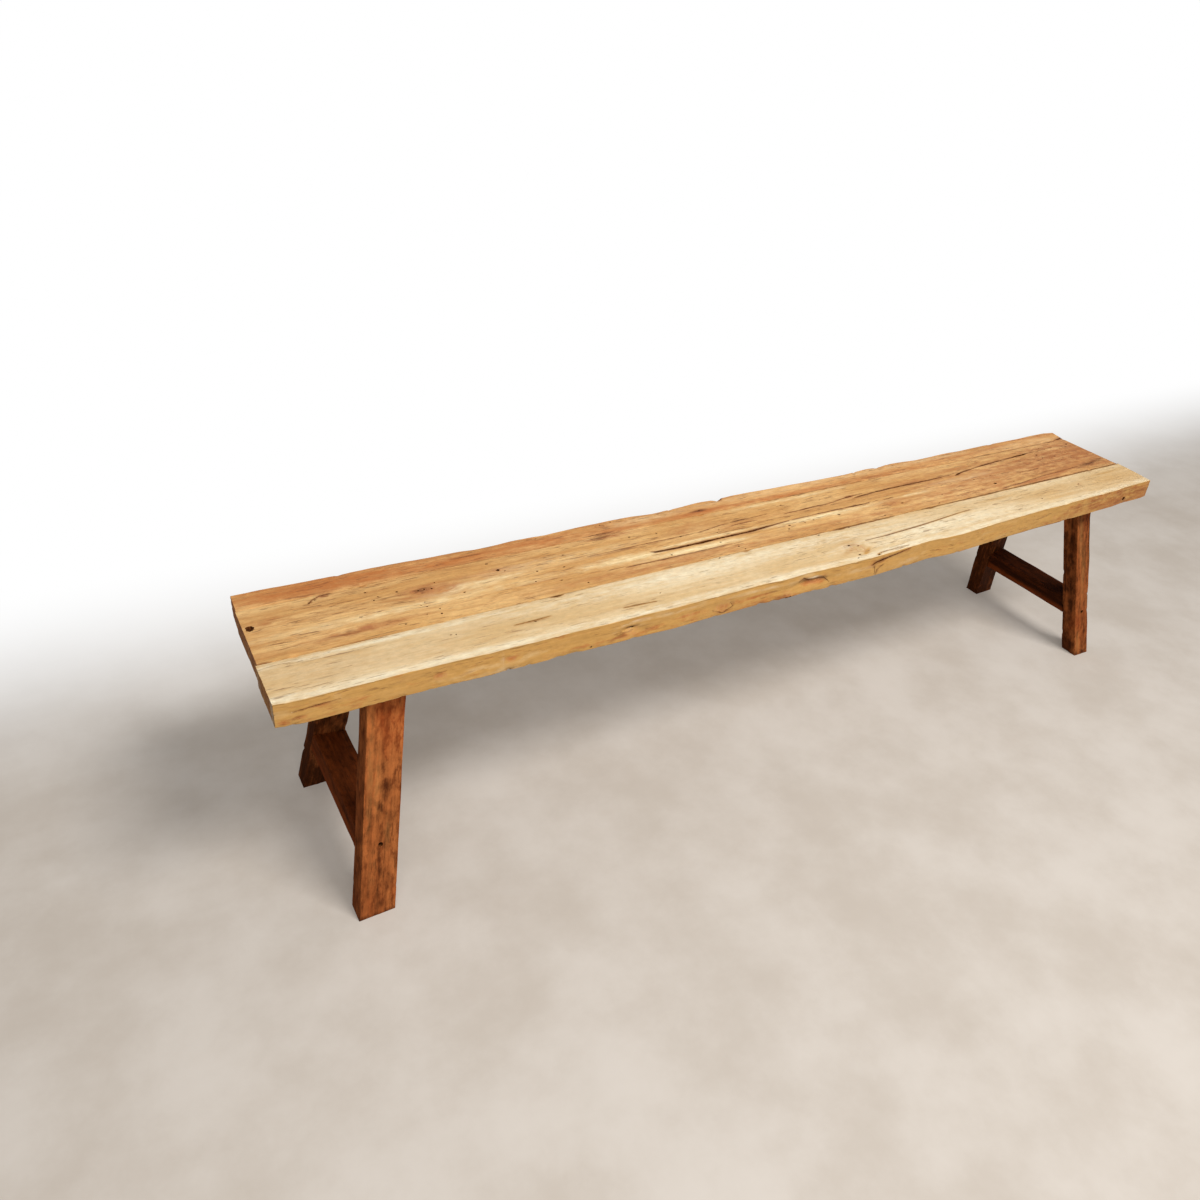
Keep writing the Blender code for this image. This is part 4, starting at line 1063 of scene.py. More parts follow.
def uneven(radius, points, size, seed, swing, waves):
    """An arris's radius, varied along each long arris by itself."""
    return radius * (1 + swing * noise(along_arrises(points, size), waves, seed))


def sawn_relief(points, seed, hollow, waves, saw_mark, saw_waves):
    """The shallow hollows and the fine saw marks of a plank or a bar."""
    hollows = hollow * (1 + noise(points, waves, seed + 1, 2))
    return hollows + saw_mark * (1 + noise(points, saw_waves, seed + 2, 3))


def board_shape(name, spec):
    """A board's worn block, set where the plain solid lies."""
    low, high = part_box(name)
    seed = spec["seed"]
    size = (TOP_LENGTH, high.y - low.y, high.z - low.z)
    points, quads = block(size, (BOARD_STEP, ACROSS_STEP, ACROSS_STEP))
    share = points / np.array(size)
    front_top, rear_top, front_low, rear_low = spec["radii"]
    radius_top = blend(front_top, rear_top, share[:, 1])
    radius_low = blend(front_low, rear_low, share[:, 1])
    radius = blend(radius_low, radius_top, share[:, 2])
    radius = uneven(radius, points, size, seed, **BOARD_UNEVEN)
    worn, outward = round_arrises(points, size, np.clip(radius, *BOARD_RADII))

    sunk = sawn_relief(points, seed, **BOARD_RELIEF)
    sunk += chips(points, size, seed + 3, **BOARD_CHIPS)
    if name == "board_front":
        sunk += live_edge(points, size, outward, seed)
    if name == "board_rear":
        rear = np.clip(outward[:, 1], 0, 1)
        sunk += rear * BOARD_REAR_WEAR * (1 + noise(points, WAVES["rear_wear"], seed + 5, 3))
    ends = np.abs(outward[:, 0])
    sunk += ends * BOARD_END_WEAR * (1 + noise(points, WAVES["end_wear"], seed + 6, 3))
    sunk += open_seam(name, points, size, seed + 9) * (1 - ends)
    worn = worn - outward * sunk[:, None]
    return place_board(worn, size, low, spec), quads


def open_seam(name, points, size, seed):
    """How far the board's seam face draws back near the top, where the seam stands open."""
    x = points[:, 0] - size[0] / 2
    across = points[:, 1] if name != "board_front" else size[1] - points[:, 1]
    total = np.zeros(len(points))
    for low, high, width in SEAMS[name]:
        reach = span((low, low + SEAM_FADE_IN), (high - SEAM_FADE_OUT, high), x)
        line = np.stack([points[:, 0], 0 * x, 0 * x], axis=1)
        ragged = np.clip(1 + SEAM_RAGGED * noise(line, WAVES["seam"], seed, 3), *SEAM_RAGGED_LIMITS)
        total = np.maximum(total, width * reach * ragged)
    high_part = smooth_step(*SEAM_TOP_SHARES, points[:, 2] / size[2])
    return total * (across < MICRON) * high_part


def chips(points, size, seed, depth, reach, waves, least):
    """Extra wear near the long arrises, in short bites."""
    gaps = [np.minimum(points[:, k], size[k] - points[:, k]) for k in (1, 2)]
    near = np.exp(-((np.hypot(*gaps) / reach) ** 2))
    return depth * near * np.maximum(0, noise(points, waves, seed, 3) - least)


def live_edge(points, size, outward, seed):
    """The front face's hollows, saw marks and eased upper arris."""
    face = np.clip(-outward[:, 1], 0, 1)
    x = points[:, 0] - size[0] / 2
    z = points[:, 2]
    upper = smooth_step(*FACE_HOLLOW_SHARES, z / size[2])
    total = FACE_HOLLOW * upper * (1 + noise(points, WAVES["face_hollow"], seed + 7, 3))
    total -= FACE_FULLNESS * (1 - upper) * smooth_step(0.0, FACE_FULL_REACH, size[0] / 2 - np.abs(x))
    ease = 1 + FACE_EASE_SWING * noise(points, WAVES["face_ease"], seed + 8, 3)
    total = total + FACE_TOP_EASE * smooth_step(*FACE_EASE_SHARES, z / size[2]) * ease
    turn = (x + FACE_SAW_SLOPE * z) * 2 * math.pi / FACE_SAW_SPACING
    total = total + FACE_SAW_MARK * span(*FACE_SAWN, x) * (1 + np.sin(turn))
    for at, height, along, up, depth in FACE_DENTS:
        total += depth * np.exp(-(((x - at) / along) ** 2) - ((z - height) / up) ** 2)
    return face * total


def place_board(worn, size, low, spec):
    """The worn block bent to the board's wavy edges and skewed ends."""
    left_front, left_rear, right_front, right_rear = (END_SETBACK * s for s in spec["ends"])
    across = worn[:, 1] / size[1]
    left = blend(left_front, left_rear, across)
    right = blend(right_front, right_rear, across)
    x = -TOP_LENGTH / 2 + left + worn[:, 0] / size[0] * (TOP_LENGTH - left - right)
    along = x / TOP_LENGTH + 0.5
    front = FRONT_EDGE_WAVE * along_table(spec["front"], along)
    rear = REAR_EDGE_WAVE * along_table(spec["rear"], along)
    reach = min(WAVE_REACH, size[1] * WAVE_REACH_SHARE)
    y = low.y + worn[:, 1]
    y = y + front * (1 - smooth_step(0, reach, worn[:, 1]))
    y = y - rear * (1 - smooth_step(0, reach, size[1] - worn[:, 1]))
    if "worn_corner" in spec:
        from_corner = np.hypot(x.max() - x, y[x.argmax()] - y)
        pull = spec["worn_corner"] * np.exp(-((from_corner / WORN_CORNER_REACH) ** 2))
        x = x - WORN_CORNER_END_SHARE * pull
        y = y - pull
    return np.stack([x, y, low.z + worn[:, 2]], axis=1)


def board_cutters(name, spec):
    holes = Cutters(spec["seed"] + HOLE_SEED)
    cracks = Cutters(spec["seed"] + CRACK_SEED)
    up = (0, 0, 1)
    for x, y, along, across, depth in HOLES[name]:
        lean = (holes.random.uniform(-PIT_LEAN, PIT_LEAN), holes.random.uniform(-PIT_LEAN, PIT_LEAN), 1)
        turn = holes.random.uniform(-PIT_TURN, PIT_TURN)
        holes.pit((x, y, TOP_Z), (1, turn, 0), lean, (along, across), depth)
    for depth, path in CRACKS[name]:
        cracks.crack([(x, y, TOP_Z, width) for x, y, width in path], up, depth)
    if name == "board_middle":
        holes.pit(KNOT_HOLE, (1, 0, 0), up, KNOT_HOLE_RADII, KNOT_HOLE_DEPTH, KNOT_HOLE_SIDES)
    if name == "board_front":
        out = (0, -1, 0)
        for x, z, along, across, depth in FACE_HOLES:
            place = (x, front_edge_y(x) + FACE_HOLE_START, z)
            holes.pit(place, (1, 0, FACE_HOLE_SLOPE), out, (along, across), depth)
        for depth, path in FACE_CRACKS:
            line = [(x, front_edge_y(x) + FACE_HOLE_START, z, width) for x, z, width in path]
            cracks.crack(line, out, depth)
    return holes, cracks


def crack_shade(points, paths):
    """How near each point is to one of the paths of (x, y, width), as a soft share."""
    total = np.zeros(len(points))
    for _, path in paths:
        path = np.array(path)
        for a, b in zip(path, path[1:]):
            left = min(a[0], b[0]) - SHADE_WINDOW
            right = max(a[0], b[0]) + SHADE_WINDOW
            near = (points[:, 0] > left) & (points[:, 0] < right)
            spot = points[near][:, :2]
            run = b[:2] - a[:2]
            share = np.clip((spot - a[:2]) @ run / max(run @ run, MICRON), 0, 1)
            away = np.linalg.norm(spot - a[:2] - share[:, None] * run, axis=1)
            width = a[2] + (b[2] - a[2]) * share
            least, most = SHADE_STRENGTHS
            strength = np.clip(least + SHADE_PER_WIDTH * width, 0, most)
            strength = strength * np.exp(-((away / (SHADE_REACH + width * SHADE_REACH_SHARE)) ** 2))
            total[near] = np.maximum(total[near], strength)
    return total


def front_tones(points, normals, grain, tone, heart):
    """Paints a highlight band along the top of the front arris in the pale tone, tones the front face, and
    returns the knots' hearts.
    """
    # Painted highlight: a pale band just behind the front arris, weaker on the front face and towards the
    # right end
    edge_gap = points[:, 1] - front_edge_y(points[:, 0])
    highlight_band = np.exp(-(((edge_gap - EDGE_HIGHLIGHT_PLACE) / EDGE_HIGHLIGHT_REACH) ** 2))
    highlight_band = highlight_band * (EDGE_HIGHLIGHT_MEAN + EDGE_HIGHLIGHT_SWING * noise(points, WAVES["edge_highlight"], FRONT_SEED, 2))
    right = 1 - smooth_step(*EDGE_HIGHLIGHT_RIGHT, points[:, 0]) * EDGE_HIGHLIGHT_RIGHT_LOSS
    highlight_band = highlight_band * right * (1 + np.minimum(0, normals[:, 1]))
    lift(tone, PALE_TONE, EDGE_HIGHLIGHT_STRENGTH * highlight_band)
    wobble = FACE_RIM_SWING * noise(points, WAVES["face_rim"], FRONT_SEED + 2, 3)
    face = smooth_step(*FACE_RIM, wobble - normals[:, 1]) * (edge_gap < FACE_DEPTH)
    flat = points[:, [0, 2]]
    face_heart, face_push = knot_field(flat, FACE_KNOTS)
    grain[:, 2] -= face_push * face
    warm = FACE_WARMTH + FACE_RIGHT_WARMTH * smooth_step(*FACE_RIGHT, points[:, 0])
    warm += FACE_WARMTH_SWING * noise(points, WAVES["face_warmth"], FRONT_SEED + 4, 3)
    low_part = 1 - smooth_step(*FACE_LOW, points[:, 2])
    warm += FACE_LOW_WARMTH * low_part * span(*FACE_LOW_SPAN, points[:, 0])
    warm = np.maximum(np.clip(warm, 0, 1), blobs(flat, FACE_WARM))
    dark = np.maximum(blobs(flat, FACE_DARK), crack_shade(flat, FACE_CRACKS))
    for channel, strength in ((WARM_TONE, warm), (PALE_TONE, blobs(flat, FACE_PALE)), (DARK_TONE, dark)):
        tone[:, channel] = blend(tone[:, channel], strength, face)
    return blend(heart, face_heart, face)


def board_attributes(item, name):
    points = positions(item)
    normals = vectors(item.data.vertex_normals, "vector")
    heart, push = knot_field(points, KNOTS[name])
    grain = points.copy()
    grain[:, 1] -= push
    tone = np.zeros((len(points), 4))
    split = crack_shade(points, CRACKS[name])
    tone[:, WARM_TONE] = np.maximum(blobs(points, WARM[name]), CRACK_WARMTH * split)
    tone[:, PALE_TONE] = blobs(points, PALE[name])
    tone[:, DARK_TONE] = np.maximum(blobs(points, DARK[name]), split)
    if name == "board_front":
        heart = front_tones(points, normals, grain, tone, heart)
    tone[:, KNOT_TONE] = heart
    seam_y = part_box(name)[1].y if name == "board_front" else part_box(name)[0].y
    near = np.exp(-(((points[:, 1] - seam_y) / SEAM_SHADE_REACH) ** 2))
    for low, high, width in SEAMS[name]:
        reach = span((low, low + SEAM_FADE_IN), (high - SEAM_FADE_OUT, high), points[:, 0])
        warmth = min(SEAM_WARMTH, SEAM_WARMTH_PER_WIDTH * width)
        darkness = min(SEAM_DARKNESS, SEAM_DARKNESS_PER_WIDTH * width)
        lift(tone, WARM_TONE, warmth * near * reach)
        lift(tone, DARK_TONE, darkness * near * reach)
    end = smooth_step(*END_FACE, np.abs(normals[:, 0]))
    lift(tone, WARM_TONE, END_WARMTH * end)
    lift(tone, DARK_TONE, END_DARKNESS * end)
    write_attributes(item, grain, tone)


def make_board(name, spec, materials):
    points, quads = board_shape(name, spec)
    item = worn_piece(name, points, quads, materials)
    for cutters in board_cutters(name, spec):
        cutters.cut(item)
    board_attributes(item, name)
    finish_piece(item, "root", name)


class Trestle:
    """One A-frame in its own leaning plane: n outward from its middle, y to the rear and s up along it."""

    def __init__(self, label, spec):
        self.label = label
        self.side = spec["side"]
        self.lean = spec["lean"]
        self.head_reach = spec["head_reach"]
        half_width = max(spec["leg_widths"]) / 2
        self.floor_reach = TOP_LENGTH / 2 - spec["foot_inset"] - half_width / math.cos(self.lean)
        self.rail_s = spec["rail_height"] / math.cos(self.lean)
        self.rail_width = min(spec["leg_widths"]) - 2 * STRETCHER_FACE_INSET
        self.rail_thickness = spec["rail_thickness"]
        self.rail_darkness = spec["rail_darkness"]
        self.screw_s = self.rail_s - spec["screw_drop"]
        measures = zip(("front", "rear"), (-1, 1), spec["leg_widths"], spec["foot_reaches"])
        self.legs = [Leg(self, *row) for row in measures]

    def place(self, n, y, s):
        out = self.floor_reach + n * math.cos(self.lean) - s * math.sin(self.lean)
        up = s * math.cos(self.lean) + n * math.sin(self.lean)
        return np.stack([self.side * out, y, up], axis=-1)

    def unplace(self, points):
        """The n, y and s of points in the room."""
        out = self.side * points[:, 0] - self.floor_reach
        up = points[:, 2]
        n = out * math.cos(self.lean) + up * math.sin(self.lean)
        s = up * math.cos(self.lean) - out * math.sin(self.lean)
        return n, points[:, 1], s


class Leg:
    """One leg's measures, where each y is a distance from the bench's middle line."""

    def __init__(self, trestle, name, end, width, foot_reach):
        self.trestle = trestle
        self.key = name + "_" + trestle.label
        self.end = end
        self.width = width
        self.foot_reach = foot_reach
        self.slope = (foot_reach - trestle.head_reach) * math.cos(trestle.lean) / LEG_TOP_Z
        self.slant = math.hypot(1, self.slope)

    def outer_y(self, s):
        return self.foot_reach - s * self.slope

    def inner_y(self, s):
        return self.outer_y(s) - LEG_THICKNESS * self.slant


# A leg's screw hole from its floor to outside its mouth: share of the way and radius
COUNTERBORE_PROFILE = (
    (0.0, COUNTERBORE_RADIUS), (0.40, COUNTERBORE_RADIUS), (0.50, COUNTERBORE_MOUTH_RADIUS),
    (1.0, COUNTERBORE_MOUTH_RADIUS),
)

# Stains on the legs' outer faces, and a painted shadow of the seat across the top of each front leg: s, n,
# half length, half width, slope, strength
LEG_STAINS_AND_SEAT_SHADOW = patches({
    "front_left": (
        (300, 2, 24, 5, 0, 0.45), (276, 1, 17, 6, 0, 0.75), (236, -4, 17, 9.5, 0.1, 1),
        (222, -3, 12, 10, 0, 0.85), (203, 3, 14, 5.5, 0.2, 0.95), (182, -16, 18, 10, 0, 0.7),
        (186, 4, 12, 12, 0, 0.5), (80, 0, 18, 6.5, 0, 0.85), (100, 2, 24, 4.5, 0, 0.5),
        # The patch at s 374, across the leg's whole width, is painted shadow of the seat
        (40, 6, 22, 12, 0, 0.6), (18, -6, 14, 16, 0, 0.7), (374, 0, 15, 32, 0, 0.32),
        (340, -6, 22, 6, 0.4, 0.42), (126, 10, 34, 8, 0, 0.4), (332, 16, 20, 5, -0.4, 0.5),
        (262, -18, 30, 5, 0, 0.35), (150, -4, 20, 6, 0.3, 0.45), (60, -16, 26, 6, 0, 0.55),
    ),
    "front_right": (
        (335, 12, 40, 2.4, 0, 0.95), (290, 10, 30, 2, 0, 0.55), (130, -4, 14, 7, 0, 0.65),
        (100, 2, 22, 5.5, 0, 0.7), (60, 8, 34, 5, 0, 0.75), (30, -2, 16, 4, 0, 0.6),
        # The patch at s 372, across the leg's whole width, is painted shadow of the seat
        (250, -4, 40, 4, 0, 0.35), (6, 0, 8, 30, 0, 0.95), (372, 0, 14, 20, 0, 0.6),
    ),
    "rear_left": (
        (300, 0, 50, 20, 0, 0.4), (80, 8, 50, 10, 0, 0.5),
    ),
    "rear_right": (
        (300, 0, 50, 20, 0, 0.4), (120, 8, 50, 10, 0, 0.5),
    ),
})

# How dark the legs' outer faces and other faces are: partly a darker stain, partly painted shade on the side
# faces that turn from the lamps and on the rear legs under the seat
LEG_STAIN_AND_PAINTED_SHADE = {
    "front_left": (0.26, 0.44),
    "front_right": (0.38, 0.80),
    "rear_left": (0.80, 1.10),
    "rear_right": (0.95, 1.15),
}

# Worn long edges: outward or inward side, outer or inner face, from, to, depth, waves a metre, seed
LEG_WEAR = {
    "front_right": ((1, 1, 0.0, 0.37, 0.0034, 13, 5), (-1, 1, 0.0, 0.10, 0.0016, 20, 6)),
    "front_left": ((1, 1, 0.02, 0.33, 0.0012, 14, 7), (-1, 1, 0.05, 0.36, 0.0012, 11, 8)),
    "rear_left": ((1, 1, 0.10, 0.30, 0.0018, 7, 12), (1, 1, 0.0, 0.12, 0.0012, 20, 10)),
    "rear_right": ((-1, 1, 0.0, 0.36, 0.0022, 12, 11), (1, 1, 0.0, 0.36, 0.0018, 14, 12)),
}

# Lighter streaks on the legs' outer faces: s, n, half length, half width, slope, strength
LEG_LIGHTS = patches({
    "front_left": (
        (270, 22, 110, 5, 0, 0.5), (250, 10, 70, 8, 0, 0.4), (150, -10, 40, 6, 0, 0.3),
        (90, 12, 50, 6, 0, 0.3),
    ),
    "front_right": (
        (330, -10, 60, 5.5, 0, 0.75), (230, 0, 100, 7, 0, 0.5), (320, 20, 70, 3, 0, 0.6),
        (150, 16, 50, 4, 0, 0.35), (35, -12, 30, 6, 0, 0.5),
    ),
    "rear_left": (
        (200, 20, 100, 6, 0, 0.2),
    ),
    "rear_right": (
        (200, 20, 100, 6, 0, 0.2),
    ),
})


def edge_bites(leg, points, size):
    """How far the leg's worn long edges draw in, by place."""
    total = np.zeros(len(points))
    for n_side, y_side, low, high, depth, waves, seed in LEG_WEAR[leg.key]:
        across = size[1] - points[:, 1] if n_side > 0 else points[:, 1]
        deep = size[2] - points[:, 2] if y_side > 0 else points[:, 2]
        near = np.exp(-((across / BITE_REACHES[0]) ** 2)) * np.exp(-((deep / BITE_REACHES[1]) ** 2))
        line = points * np.array((1, 0, 0)) + np.array((0, seed, 0))
        wave = 0.5 + 0.5 * noise(line, (waves, 1, 1), seed, 2)
        outside, inside = BITE_FADE
        reach = span((low - outside, low + inside), (high - inside, high + outside), points[:, 0])
        total += depth * near * reach * np.clip(wave, 0, BITE_LIMIT)
    return total


def sink_sides(worn, outward, sunk):
    """The points drawn in by their wear, but for those on the bar's ends."""
    level = 1 - np.abs(outward[:, 0])
    return worn - outward * (sunk * level)[:, None]


def make_leg(leg, materials, seed):
    trestle = leg.trestle
    node = "leg_" + leg.key
    size = (LEG_TOP_Z, leg.width, LEG_THICKNESS)
    points, quads = block(size, (LEG_STEP, LEG_ACROSS_STEP, LEG_ACROSS_STEP))
    radius = uneven(LEG_ARRIS, points, size, seed, **BAR_UNEVEN)
    worn, outward = round_arrises(points, size, np.clip(radius, *LEG_RADII))
    sunk = sawn_relief(points, seed, **LEG_RELIEF)
    sunk += chips(points, size, seed + 3, **LEG_CHIPS)
    sunk += edge_bites(leg, points, size)
    worn = sink_sides(worn, outward, sunk)
    n = worn[:, 1] - leg.width / 2
    s = (worn[:, 0] - n * math.sin(trestle.lean)) / math.cos(trestle.lean)
    y = leg.inner_y(s) + worn[:, 2] * leg.slant
    if (trestle.side > 0) == (leg.end > 0):
        quads = quads[:, ::-1]
    item = worn_piece(node, trestle.place(n, leg.end * y, s), quads, materials)
    cut_counterbore(leg, item, seed + 4)
    leg_attributes(leg, item, seed)
    finish_piece(item, "root", node)


def cut_counterbore(leg, item, seed):
    trestle = leg.trestle
    bore = Cutters(seed)
    centre_y = leg.outer_y(trestle.screw_s)
    floor, mouth = (
        Vector(trestle.place(0.0, leg.end * (centre_y + height), trestle.screw_s))
        for height in (-COUNTERBORE_DEPTH, COUNTERBORE_OVERRUN)
    )
    rings = []
    for share, radius in COUNTERBORE_PROFILE:
        middle = floor.lerp(mouth, share)
        angles = (2 * math.pi * i / COUNTERBORE_SIDES for i in range(COUNTERBORE_SIDES))
        rings.append([middle + Vector((math.cos(turn), 0, math.sin(turn))) * radius for turn in angles])
    bore.add(*tube(rings))
    bore.cut(item)


def leg_attributes(leg, item, seed):
    trestle = leg.trestle
    points = positions(item)
    n, y, s = trestle.unplace(points)
    depth = (np.abs(y) - leg.inner_y(s)) / leg.slant
    outer = smooth_step(*LEG_OUTER_SHARES, depth / LEG_THICKNESS)
    flat = np.stack([s, n], axis=1)
    along, aside = LEG_GRAIN_SHIFTS
    grain = np.stack([s + seed * along, n + aside * seed, depth], axis=1)
    tone = np.zeros((len(points), 4))
    patchy = noise(points, WAVES["leg_warmth"], seed + 6, 3)
    tone[:, WARM_TONE] = BAR_WARMTH * smooth_step(*LEG_WARM_RISE, patchy)
    tone[:, PALE_TONE] = outer * blobs(flat, LEG_LIGHTS[leg.key])
    # Painted shade, partly a darker stain: the side faces, and the rear legs as a whole, darker than the
    # front legs' outer faces
    shade = LEG_STAIN_AND_PAINTED_SHADE[leg.key]
    base = blend(shade[1], shade[0], outer)
    mottle = 0.5 + 0.5 * noise(points, WAVES["leg_mottle"], seed + 7, 3)
    fine = 0.5 + 0.5 * noise(points, WAVES["leg_speck"], seed + 8, 3)
    least, coarse, speck = LEG_MOTTLE
    tone[:, DARK_TONE] = np.clip(base * (least + coarse * mottle + speck * fine), 0, 1)
    # Painted shade: the rear legs turn dark towards their tops, under the seat
    under_seat_shade = smooth_step(*UNDER_SEAT_SHADE, points[:, 2]) * (leg.end > 0)
    lift(tone, DARK_TONE, under_seat_shade)
    # Stains, and on the front legs the painted shadow of the seat
    lift(tone, DARK_TONE, outer * blobs(flat, LEG_STAINS_AND_SEAT_SHADOW[leg.key]))
    foot = FOOT_DARKNESS * (1 - smooth_step(0.0, FOOT_DARK_REACH, points[:, 2]))
    lift(tone, DARK_TONE, foot)
    write_attributes(item, grain, tone)


def make_stretcher(trestle, materials, seed):
    node = "stretcher_" + trestle.label
    front, rear = trestle.legs
    run = front.inner_y(trestle.rail_s) + rear.inner_y(trestle.rail_s)
    size = (run, trestle.rail_width, trestle.rail_thickness)
    points, quads = block(size, (LEG_STEP, LEG_ACROSS_STEP, LEG_ACROSS_STEP))
    radius = uneven(RAIL_ARRIS, points, size, seed, **BAR_UNEVEN)
    inside = smooth_step(0.0, RAIL_END_REACH, np.minimum(points[:, 0], size[0] - points[:, 0]))
    worn, outward = round_arrises(points, size, np.clip(radius * inside, *RAIL_RADII))
    worn = sink_sides(worn, outward, sawn_relief(points, seed, **RAIL_RELIEF))
    n = worn[:, 1] - trestle.rail_width / 2
    s = trestle.rail_s + worn[:, 2] - trestle.rail_thickness / 2
    front_y = -(front.inner_y(s) - FIT_GAP * front.slant)
    rear_y = rear.inner_y(s) - FIT_GAP * rear.slant
    y = front_y + (rear_y - front_y) * worn[:, 0] / run
    if trestle.side < 0:
        quads = quads[:, ::-1]
    item = worn_piece(node, trestle.place(n, y, s), quads, materials)
    stretcher_attributes(trestle, item, seed)
    finish_piece(item, "root", node)


def stretcher_attributes(trestle, item, seed):
    points = positions(item)
    n, y, s = trestle.unplace(points)
    grain = np.stack([y + seed, n + RAIL_GRAIN_SHIFT * seed, s], axis=1)
    # Painted light and shade: the rail's lower part lighter and warmer, its upper part darker, as the seat
    # shades its top
    lit_low_band = 1 - smooth_step(*RAIL_LIT_LOW_SHARES, (s - trestle.rail_s) / trestle.rail_thickness)
    tone = np.zeros((len(points), 4))
    streaks = smooth_step(*RAIL_STREAK_RISE, noise(grain, WAVES["rail_warmth"], seed + 6, 2))
    tone[:, WARM_TONE] = BAR_WARMTH * lit_low_band + RAIL_STREAK_WARMTH * streaks
    mottle = 0.5 + 0.5 * noise(points, WAVES["rail_mottle"], seed + 7, 3)
    dark = trestle.rail_darkness
    least, coarse = RAIL_MOTTLE
    dark = (dark - RAIL_LIT_LOW_LOSS * dark * lit_low_band) * (least + coarse * mottle)
    tone[:, DARK_TONE] = np.clip(dark, 0, 1)
    write_attributes(item, grain, tone)


# The woods: their colours, where the pith lies, and how strongly each pattern shows
STRAW = {
    "light": (0.70, 0.560, 0.350), "mid": (0.62, 0.450, 0.238), "deep": (0.46, 0.265, 0.100),
    "warm": (0.37, 0.125, 0.028), "pale": (0.80, 0.725, 0.54), "stain": (0.15, 0.052, 0.013),
    "olive": (0.45, 0.240, 0.064), "eye": (0.46, 0.20, 0.085), "knot": (0.07, 0.024, 0.009),
    "pith": (0.06, 0.28), "spacing": 0.011, "sway": 0.05, "ripple": 0.010, "ring": 0.20,
    "broad": 0.14, "streak": 0.24, "fibre": 0.28,
    "blotch": 0.20, "dash": 0.55, "mottle": 0.50, "rough": 0.5, "relief": 0.00020, "gloss": 0.25,
}
GOLDEN = {
    "light": (0.72, 0.46, 0.195), "mid": (0.60, 0.34, 0.118), "deep": (0.38, 0.158, 0.043),
    "warm": (0.40, 0.150, 0.050), "pale": (0.84, 0.68, 0.39), "stain": (0.12, 0.036, 0.011),
    "eye": (0.42, 0.15, 0.065), "knot": (0.05, 0.018, 0.008), "pith": (0.035, 0.33), "spacing": 0.009,
    "sway": 0.06, "ripple": 0.010, "ring": 0.24, "broad": 0.28, "streak": 0.42, "fibre": 0.42,
    "blotch": 0.28, "dash": 0.70, "mottle": 0.55, "rough": 0.52, "relief": 0.00024, "gloss": 0.25,
}
TAN = {
    "light": (0.72, 0.42, 0.165), "mid": (0.60, 0.31, 0.103), "deep": (0.36, 0.132, 0.036),
    "warm": (0.46, 0.160, 0.042), "pale": (0.78, 0.55, 0.29), "stain": (0.12, 0.034, 0.011),
    "eye": (0.30, 0.090, 0.030), "knot": (0.05, 0.018, 0.008), "pith": (0.21, 0.37), "spacing": 0.009,
    "sway": 0.05, "ripple": 0.011, "ring": 0.24, "broad": 0.28, "streak": 0.44, "fibre": 0.44,
    "blotch": 0.30, "dash": 0.65, "mottle": 0.55, "rough": 0.52, "relief": 0.00024, "gloss": 0.25,
}
LEG = {
    "light": (0.43, 0.140, 0.038), "mid": (0.335, 0.094, 0.024), "deep": (0.165, 0.038, 0.009),
    "warm": (0.29, 0.052, 0.010), "pale": (0.50, 0.220, 0.066), "stain": (0.048, 0.012, 0.003),
    "eye": (0.08, 0.022, 0.007), "knot": (0.03, 0.010, 0.004), "pith": (0.05, -0.06), "spacing": 0.007,
    "sway": 0.05, "ripple": 0.008, "ring": 0.16, "broad": 0.34, "streak": 0.36, "fibre": 0.30,
    "blotch": 0.75, "dash": 0.50, "mottle": 1.0, "rough": 0.7, "relief": 0.00028, "gloss": 0.05,
}
RAIL = {
    "light": (0.185, 0.042, 0.008), "mid": (0.130, 0.027, 0.005), "deep": (0.065, 0.013, 0.003),
    "warm": (0.21, 0.040, 0.007), "pale": (0.22, 0.08, 0.025), "stain": (0.022, 0.005, 0.001),
    "eye": (0.04, 0.012, 0.004), "knot": (0.02, 0.007, 0.002), "pith": (-0.05, 0.0), "spacing": 0.007,
    "sway": 0.05, "ripple": 0.008, "ring": 0.20, "broad": 0.35, "streak": 0.40, "fibre": 0.30,
    "blotch": 0.50, "dash": 0.45, "mottle": 0.9, "rough": 0.7, "relief": 0.00028, "gloss": 0.05,
}
CLEAT = {
    "light": (0.30, 0.14, 0.058), "mid": (0.23, 0.10, 0.040), "deep": (0.13, 0.052, 0.020),
    "stain": (0.07, 0.027, 0.012), "pith": (0.78, 0.34), "spacing": 0.008,
    "sway": 0.04, "ripple": 0.007, "ring": 0.25, "broad": 0.35, "streak": 0.40, "fibre": 0.34,
    "blotch": 0.35, "dash": 0.35, "mottle": 0.6, "rough": 0.62, "relief": 0.00026, "gloss": 0.2,
}


